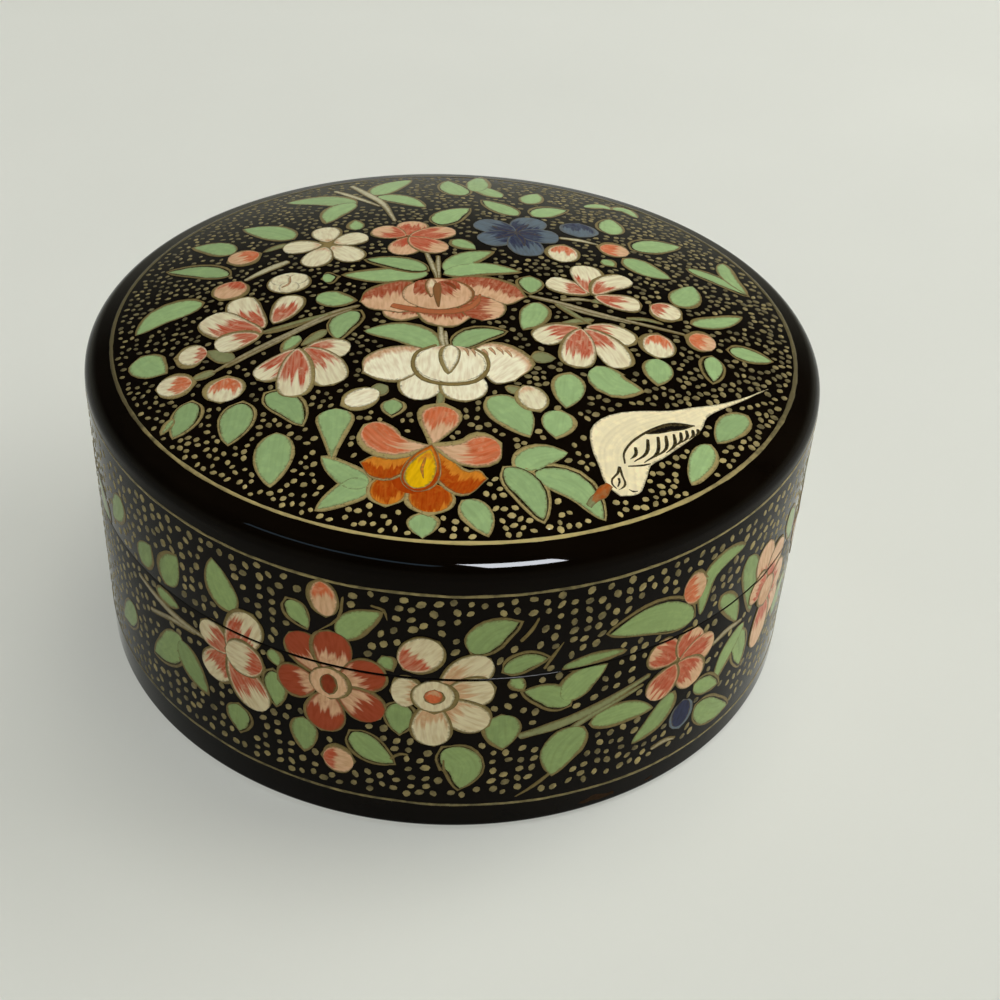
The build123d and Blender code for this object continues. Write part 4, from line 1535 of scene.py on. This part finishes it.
def wall_field(rows, low, high):
    """The wall between two heights in millimetres, as a plain grid over which dots are scattered."""
    points = []
    for j in range(rows + 1):
        for i in range(FIELD_COLUMNS + 1):
            s = math.tau * OUTER / MM * i / FIELD_COLUMNS
            points.append(wall_point(s, low + (high - low) * j / rows, 0.0))
    faces = []
    for j in range(rows):
        for i in range(FIELD_COLUMNS):
            a = j * (FIELD_COLUMNS + 1) + i
            faces.append([a, a + 1, a + FIELD_COLUMNS + 2, a + FIELD_COLUMNS + 1])
    return new_mesh("wall_field", points, faces)


def disc_field(radius):
    """The dome inside the gold ring, as rings of faces. radius is in millimetres."""
    dome = Dome()
    points = [dome.point(0.0, 0.0, 0.0)]
    for j in range(1, DISC_RINGS + 1):
        for i in range(DISC_STEPS):
            angle = math.tau * i / DISC_STEPS
            reach = radius * j / DISC_RINGS
            points.append(dome.point(reach * math.cos(angle), reach * math.sin(angle), 0.0))
    faces = [[0, 1 + i, 1 + (i + 1) % DISC_STEPS] for i in range(DISC_STEPS)]
    for start in range(1, 1 + (DISC_RINGS - 1) * DISC_STEPS, DISC_STEPS):
        for i in range(DISC_STEPS):
            a = start + i
            b = start + (i + 1) % DISC_STEPS
            faces.append([a, a + DISC_STEPS, b + DISC_STEPS, b])
    return new_mesh("disc_field", points, faces)


class PieceOperator(bpy.types.Operator):
    """Shared settings of the operators that make pieces"""
    bl_options = {"REGISTER", "UNDO"}


class PAPIERBOX_OT_crown(PieceOperator):
    """Domed crown of the lid, with its spigot"""
    bl_idname = "papierbox.crown"
    bl_label = "Lid crown"

    def execute(self, context):
        sizes = settings("board_sizes")
        dome = Dome()
        spigot_outer = LID_INNER - sizes.glue_gap
        spigot_inner = spigot_outer - sizes.spigot
        under = dome.radius - sizes.crown
        corner_z = dome.centre + math.sqrt(under**2 - spigot_inner**2)
        fillet = sizes.spigot_fillet
        bend_radius = spigot_inner - fillet
        inner_arc = arc((bend_radius, corner_z - fillet), fillet, 0.0, math.pi / 2 - 0.1, CORNER_STEPS)
        start = math.acos(bend_radius / under)
        underside = arc((0.0, dome.centre), under, start, math.pi / 2, UNDERSIDE_STEPS)
        profile = [(OUTER, CROWN_SEAT)] + dome.outside()
        profile += underside[::-1] + inner_arc[::-1]
        profile += [(spigot_inner, SPIGOT_BOTTOM), (spigot_outer, SPIGOT_BOTTOM), (spigot_outer, CROWN_SEAT)]
        settle(turned("lid_crown_lacquered", profile, "ground"), "lid", "painted_board", "lid_crown")
        return {"FINISHED"}


class PAPIERBOX_OT_walls(PieceOperator):
    """Upper and lower ring of the tube"""
    bl_idname = "papierbox.walls"
    bl_label = "Lid wall and base wall"

    def execute(self, context):
        sizes = settings("board_sizes")
        lid = rounded((OUTER, SEAM), sizes.seam_edge, -math.pi / 2)
        lid += [(OUTER, CROWN_SEAT), (LID_INNER, CROWN_SEAT), (LID_INNER, SEAM + sizes.lead_in)]
        lid.append((LID_INNER + sizes.lead_in, SEAM))
        settle(turned("lid_wall_lacquered", lid, "ground"), "lid", "painted_board", "lid_wall")
        rebate = FLOOR_RADIUS + sizes.glue_gap
        base = rounded((OUTER, 0.0), sizes.foot, -math.pi / 2, FOOT_STEPS)
        base += rounded((OUTER, SEAM), sizes.seam_edge, 0.0)
        base += [(BASE_INNER, SEAM), (BASE_INNER, FLOOR_TOP), (rebate, FLOOR_TOP), (rebate, 0.0)]
        settle(turned("base_wall_lacquered", base, "ground"), "base", "painted_board", "base_wall")
        return {"FINISHED"}


class PAPIERBOX_OT_inside(PieceOperator):
    """Floor disc and locating collar"""
    bl_idname = "papierbox.inside"
    bl_label = "Floor and collar"

    def execute(self, context):
        edge = settings("board_sizes").collar_edge
        disc = [(share * FLOOR_RADIUS, FLOOR_TOP) for share in (0.0, 0.5, 1.0)]
        disc += [(radius, 0.0) for radius, _ in reversed(disc)]
        lip = arc((COLLAR_INNER + edge, COLLAR_TOP - edge), edge, math.pi / 2, math.pi, CORNER_STEPS)
        collar = [(COLLAR_INNER, FLOOR_TOP), (COLLAR_OUTER, FLOOR_TOP)]
        collar += rounded((COLLAR_OUTER, COLLAR_TOP), edge, 0.0) + lip
        for node, profile in (("base_floor", disc), ("locating_collar", collar)):
            settle(turned(node + "_lacquered", profile, "inside"), "base", "plain_lacquered_board", node)
        return {"FINISHED"}


class PAPIERBOX_OT_lid_painting(PieceOperator):
    """Leaves, flowers and bird on the lid"""
    bl_idname = "papierbox.lid_painting"
    bl_label = "Lid painting"

    def execute(self, context):
        sheet = Sheet(Dome().point, seed=101, step=1.3, rows=11, coat=settings("paint_sizes").lid_coat)
        for paint in (
            paint_lid_leaves, paint_small_flowers, paint_red_lotus, paint_white_lotus, paint_orange_flower,
            paint_bird,
        ):
            paint(sheet)
        settle_lid_sheet(sheet)
        return {"FINISHED"}


class PAPIERBOX_OT_wall_painting(PieceOperator):
    """Leaves and flowers round the wall, parted at the seam"""
    bl_idname = "papierbox.wall_painting"
    bl_label = "Wall painting"

    def execute(self, context):
        coat = settings("paint_sizes").wall_coat
        front = Sheet(wall_point, seed=202, step=0.75, rows=15, coat=coat)
        paint_wall_leaves(front)
        paint_wall_flowers(front)
        settle_wall_sheet(front, "front")
        back = Sheet(wall_point, seed=303, step=0.75, rows=15, coat=coat)
        paint_garland(back)
        settle_wall_sheet(back, "back")
        return {"FINISHED"}


PAINTED_SHEEN_SIDE = (0.6, -7.2, 0.0)  # the gold is painted brighter toward the front of the lid: a painted sheen of the bronze
BROAD_SIDE = (2.6, 5.0, 0.0)  # the ring is drawn broader behind and to the right
FULL_SIDE = (5.0, 1.0, 0.0)  # the dots are fuller on the right
LINE_WAVER = 0.4 * MM
LINE_BULGE = 1.3 * MM  # how much higher the lid's line lies at the two sides
LINE_RISE = (-0.021, 0.0, 0.0)  # the base's line climbs to the left


class PAPIERBOX_OT_gold_lines(PieceOperator):
    """Gold ring on the lid and gold lines round the wall"""
    bl_idname = "papierbox.gold_lines"
    bl_label = "Gold lines"

    def execute(self, context):
        sizes = settings("paint_sizes")
        ring = sizes.lid_ring
        dome = Dome()
        lines = (
            ("lid_gold_ring", "lid", {
                "Radius": ring, "Height": dome.centre + math.sqrt(dome.radius**2 - ring**2),
                "Width": sizes.ring_width, "Slope": math.asin(ring / dome.radius), "Waver": LINE_WAVER / 8,
                "Larger Toward": BROAD_SIDE, "Fresher Toward": PAINTED_SHEEN_SIDE, "Dull Tone": 0.05, "Seed": 1.0,
            }),
            ("lid_gold_line", "lid", {
                "Height": sizes.lid_line, "Width": sizes.lid_line_width, "Bulge": LINE_BULGE,
                "Dull Tone": 0.42, "Seed": 2.0,
            }),
            ("base_gold_line", "base", {
                "Height": sizes.base_line, "Width": sizes.base_line_width, "Rise": LINE_RISE,
                "Dull Tone": 0.36, "Seed": 3.0,
            }),
        )
        for name, body, values in lines:
            piece = grown_by_nodes(name, bpy.data.meshes.new(name), "line", {
                "Radius": OUTER, "Slope": math.pi / 2, "Waver": LINE_WAVER,
                "Thickness": sizes.gold_coat, "Material": finish("gold"), **values,
            })
            settle(piece, body, "painted_board")
        return {"FINISHED"}


class PAPIERBOX_OT_dots(PieceOperator):
    """Gold dots between the motifs"""
    bl_idname = "papierbox.dots"
    bl_label = "Gold dots"

    def execute(self, context):
        sizes = settings("paint_sizes")
        dab = make_dab()
        fields = (
            ("lid_dots", "lid", disc_field(sizes.lid_ring / MM - RING_MARGIN), "lid_top", {
                "Spacing": sizes.lid_spacing, "Dot Length": sizes.lid_dot, "Grain": (0.35, 1.0, 0.0),
                "Spread": 1.3, "Larger Toward": FULL_SIDE, "Fresher Toward": PAINTED_SHEEN_SIDE,
                "Dull Tone": 0.16, "Seed": 21,
            }),
            ("lid_wall_dots", "lid", wall_field(*LID_WALL_FIELD), "lid_side", {"Seed": 22}),
            ("base_wall_dots", "base", wall_field(*BASE_WALL_FIELD), "base_side", {"Seed": 23}),
        )
        for name, body, mesh, key, values in fields:
            painting = joined(key, painted[key])
            piece = grown_by_nodes(name, mesh, "dots", {
                "Dab": dab, "Painting": painting, "Clearance": sizes.dot_clearance,
                "Spacing": sizes.wall_spacing, "Dot Length": sizes.wall_dot, "Grain": UP, "Spread": 0.9,
                "Dull Tone": 0.3, "Material": finish("gold"), **values,
            })
            bpy.data.objects.remove(painting)
            settle(piece, body, "painted_board")
        bpy.data.objects.remove(dab)
        return {"FINISHED"}


# points along each worn patch of the foot, its width, its rows and how ragged it is
WORN_PATCHES = (
    (((18.4, 1.5), (20.6, 1.8), (23.2, 1.5)), 0.9, 14, 0.12),
    (((27.6, 1.3), (28.8, 1.5)), 0.4, 8, 0.06),
)


class PAPIERBOX_OT_wear(PieceOperator):
    """Worn brown patches at the foot"""
    bl_idname = "papierbox.wear"
    bl_label = "Worn foot"

    def execute(self, context):
        coat = Coat(wall_point, seed=404, step=0.5)
        for points, width, rows, wobble in WORN_PATCHES:
            coat.add(blade(points, width, 0.5, 0.5, rows), 0.02, paint_of("worn"), wobble=wobble)
        piece = link("base_worn_foot", coat.mesh("base_worn_foot"), "worn")
        settle(piece, "base", "painted_board")
        return {"FINISHED"}


# ---- stage ----

CAMERA_ELEVATION = math.radians(37.629)
CAMERA_ROLL = math.radians(3.456)
CAMERA_PLACE = (0.0066, -0.16785, 0.14345)
CAMERA_LENS = 57.15
TABLE_HALF = 1.4
TABLE_Z = -0.02 * MM  # just below the foot
# azimuth from the front to the right and elevation in degrees, distance, width and height, watts,
# tint, and whether the lamp lights the gloss of the varnish and not the matt paint
LAMPS = {
    "overhead_fill": (150, 76, 1.2, (0.5, 0.5), 5.4, "FFFEF8", False),
    "front_fill": (4, 6, 1.0, (0.5, 0.3), 2.1, "FFFEF8", False),
    "right_window": (110, 40, 0.9, (0.6, 0.6), 5.4, "FFFEFA", False),
    "window_in_varnish": (28.2, 57, 0.9, (0.29, 0.33), 62.0, "F4F8FF", True),
    "second_window_in_varnish": (-38, 57, 0.9, (0.73, 0.1), 2.6, "9CC4E0", True),
}


def make_camera():
    """The photograph's view: from the front, 38 degrees above, turned a little in its own plane."""
    data = bpy.data.cameras.new("camera")
    data.sensor_width = 36.0
    data.lens = CAMERA_LENS
    data.clip_start = 5 * MM
    camera = put("camera", data)
    back = Vector((0.0, -math.cos(CAMERA_ELEVATION), math.sin(CAMERA_ELEVATION)))
    level = Vector((1.0, 0.0, 0.0))
    right = math.cos(CAMERA_ROLL) * level + math.sin(CAMERA_ROLL) * back.cross(level)
    turn = Matrix((right, back.cross(right), back)).transposed().to_4x4()
    camera.matrix_world = Matrix.Translation(CAMERA_PLACE) @ turn
    bpy.context.scene.camera = camera


def make_floor():
    """Pale table, large enough to fill the picture."""
    corners = [(TABLE_HALF * x, TABLE_HALF * y, 0.0) for x, y in ((-1, -1), (1, -1), (1, 1), (-1, 1))]
    mesh = new_mesh("table", corners, [[0, 1, 2, 3]])
    mesh.materials.append(finish("table"))
    floor = put("table", mesh)
    floor.location.z = TABLE_Z


def make_lamp(name, azimuth, elevation, distance, size, watts, tint, on_gloss):
    """A soft lamp that looks at the box, and lights either the gloss or the matt paint."""
    data = bpy.data.lights.new(name, "AREA")
    data.shape = "RECTANGLE"
    data.size, data.size_y = size
    data.energy = watts
    data.color = linear(tint)[:3]
    lamp = put(name, data)
    azimuth = math.radians(azimuth)
    elevation = math.radians(elevation)
    level = math.cos(elevation)
    way = Vector((level * math.sin(azimuth), -level * math.cos(azimuth), math.sin(elevation)))
    lamp.location = Vector((0.0, 0.0, DOME_TOP / 2)) + way * distance
    lamp.rotation_euler = way.to_track_quat("Z", "Y").to_euler()
    lamp.visible_glossy = on_gloss
    lamp.visible_diffuse = not on_gloss


def make_world():
    """Pale room: light near the table, dimmer overhead, so that the varnish stays deep."""
    world = bpy.data.worlds.new("room")
    world.use_nodes = True
    tree = world.node_tree
    tree.nodes.clear()
    way = add_node(tree, "ShaderNodeTexCoord", give="Generated")
    height = add_node(tree, "ShaderNodeSeparateXYZ", (way,), "Z")
    overhead = add_node(tree, "ShaderNodeMapRange", (height, 0.1, 0.42))
    rays = add_node(tree, "ShaderNodeLightPath").node.outputs
    room = laid_over(
        tree, linear("B8B7A4"), (rays["Is Glossy Ray"], linear("CFCFBC")), (overhead, linear("1C1D1C")),
        (rays["Is Camera Ray"], linear(BACKDROP)),
    )
    glow = add_node(tree, "ShaderNodeBackground", {"Color": room, "Strength": 1.0})
    add_node(tree, "ShaderNodeOutputWorld", {"Surface": glow})
    bpy.context.scene.world = world


class PAPIERBOX_OT_stage(PieceOperator):
    """Pale table, plain soft light and the photograph's camera"""
    bl_idname = "papierbox.stage"
    bl_label = "Stage"

    def execute(self, context):
        make_floor()
        make_world()
        for name, lamp in LAMPS.items():
            make_lamp(name, *lamp)
        make_camera()
        bpy.context.scene.view_settings.view_transform = "Standard"
        return {"FINISHED"}


# ---- add-on ----

SETTINGS = {"board_sizes": BoardSizes, "paint_sizes": PaintSizes, "box_colours": PaintColours}
PIECE_OPERATORS = (
    PAPIERBOX_OT_crown, PAPIERBOX_OT_walls, PAPIERBOX_OT_inside, PAPIERBOX_OT_lid_painting,
    PAPIERBOX_OT_wall_painting, PAPIERBOX_OT_gold_lines, PAPIERBOX_OT_dots, PAPIERBOX_OT_wear,
    PAPIERBOX_OT_stage,
)


class PAPIERBOX_PT_panel(bpy.types.Panel):
    """Lists the pieces of the box and their settings"""
    bl_idname = "PAPIERBOX_PT_panel"
    bl_label = "Papier mache box"
    bl_space_type = "VIEW_3D"
    bl_region_type = "UI"
    bl_category = "Papier mache"

    def draw(self, context):
        for kind, group in SETTINGS.items():
            box = self.layout.box()
            for name in group.__annotations__:
                box.prop(settings(kind), name)
        for operator in PIECE_OPERATORS:
            self.layout.operator(operator.bl_idname)


def register():
    """Adds the settings, the operators and the panel to Blender."""
    for kind, group in SETTINGS.items():
        bpy.utils.register_class(group)
        setattr(bpy.types.Scene, kind, bpy.props.PointerProperty(type=group))
    for cls in (*PIECE_OPERATORS, PAPIERBOX_PT_panel):
        bpy.utils.register_class(cls)


def unregister():
    """Takes them away again, the last one first."""
    for cls in (PAPIERBOX_PT_panel, *reversed(PIECE_OPERATORS)):
        bpy.utils.unregister_class(cls)
    for kind, group in reversed(SETTINGS.items()):
        delattr(bpy.types.Scene, kind)
        bpy.utils.unregister_class(group)


def main():
    """Makes every piece in order."""
    register()
    for operator in PIECE_OPERATORS:
        family, action = operator.bl_idname.split(".")
        getattr(getattr(bpy.ops, family), action)()


if __name__ == "__main__":
    main()
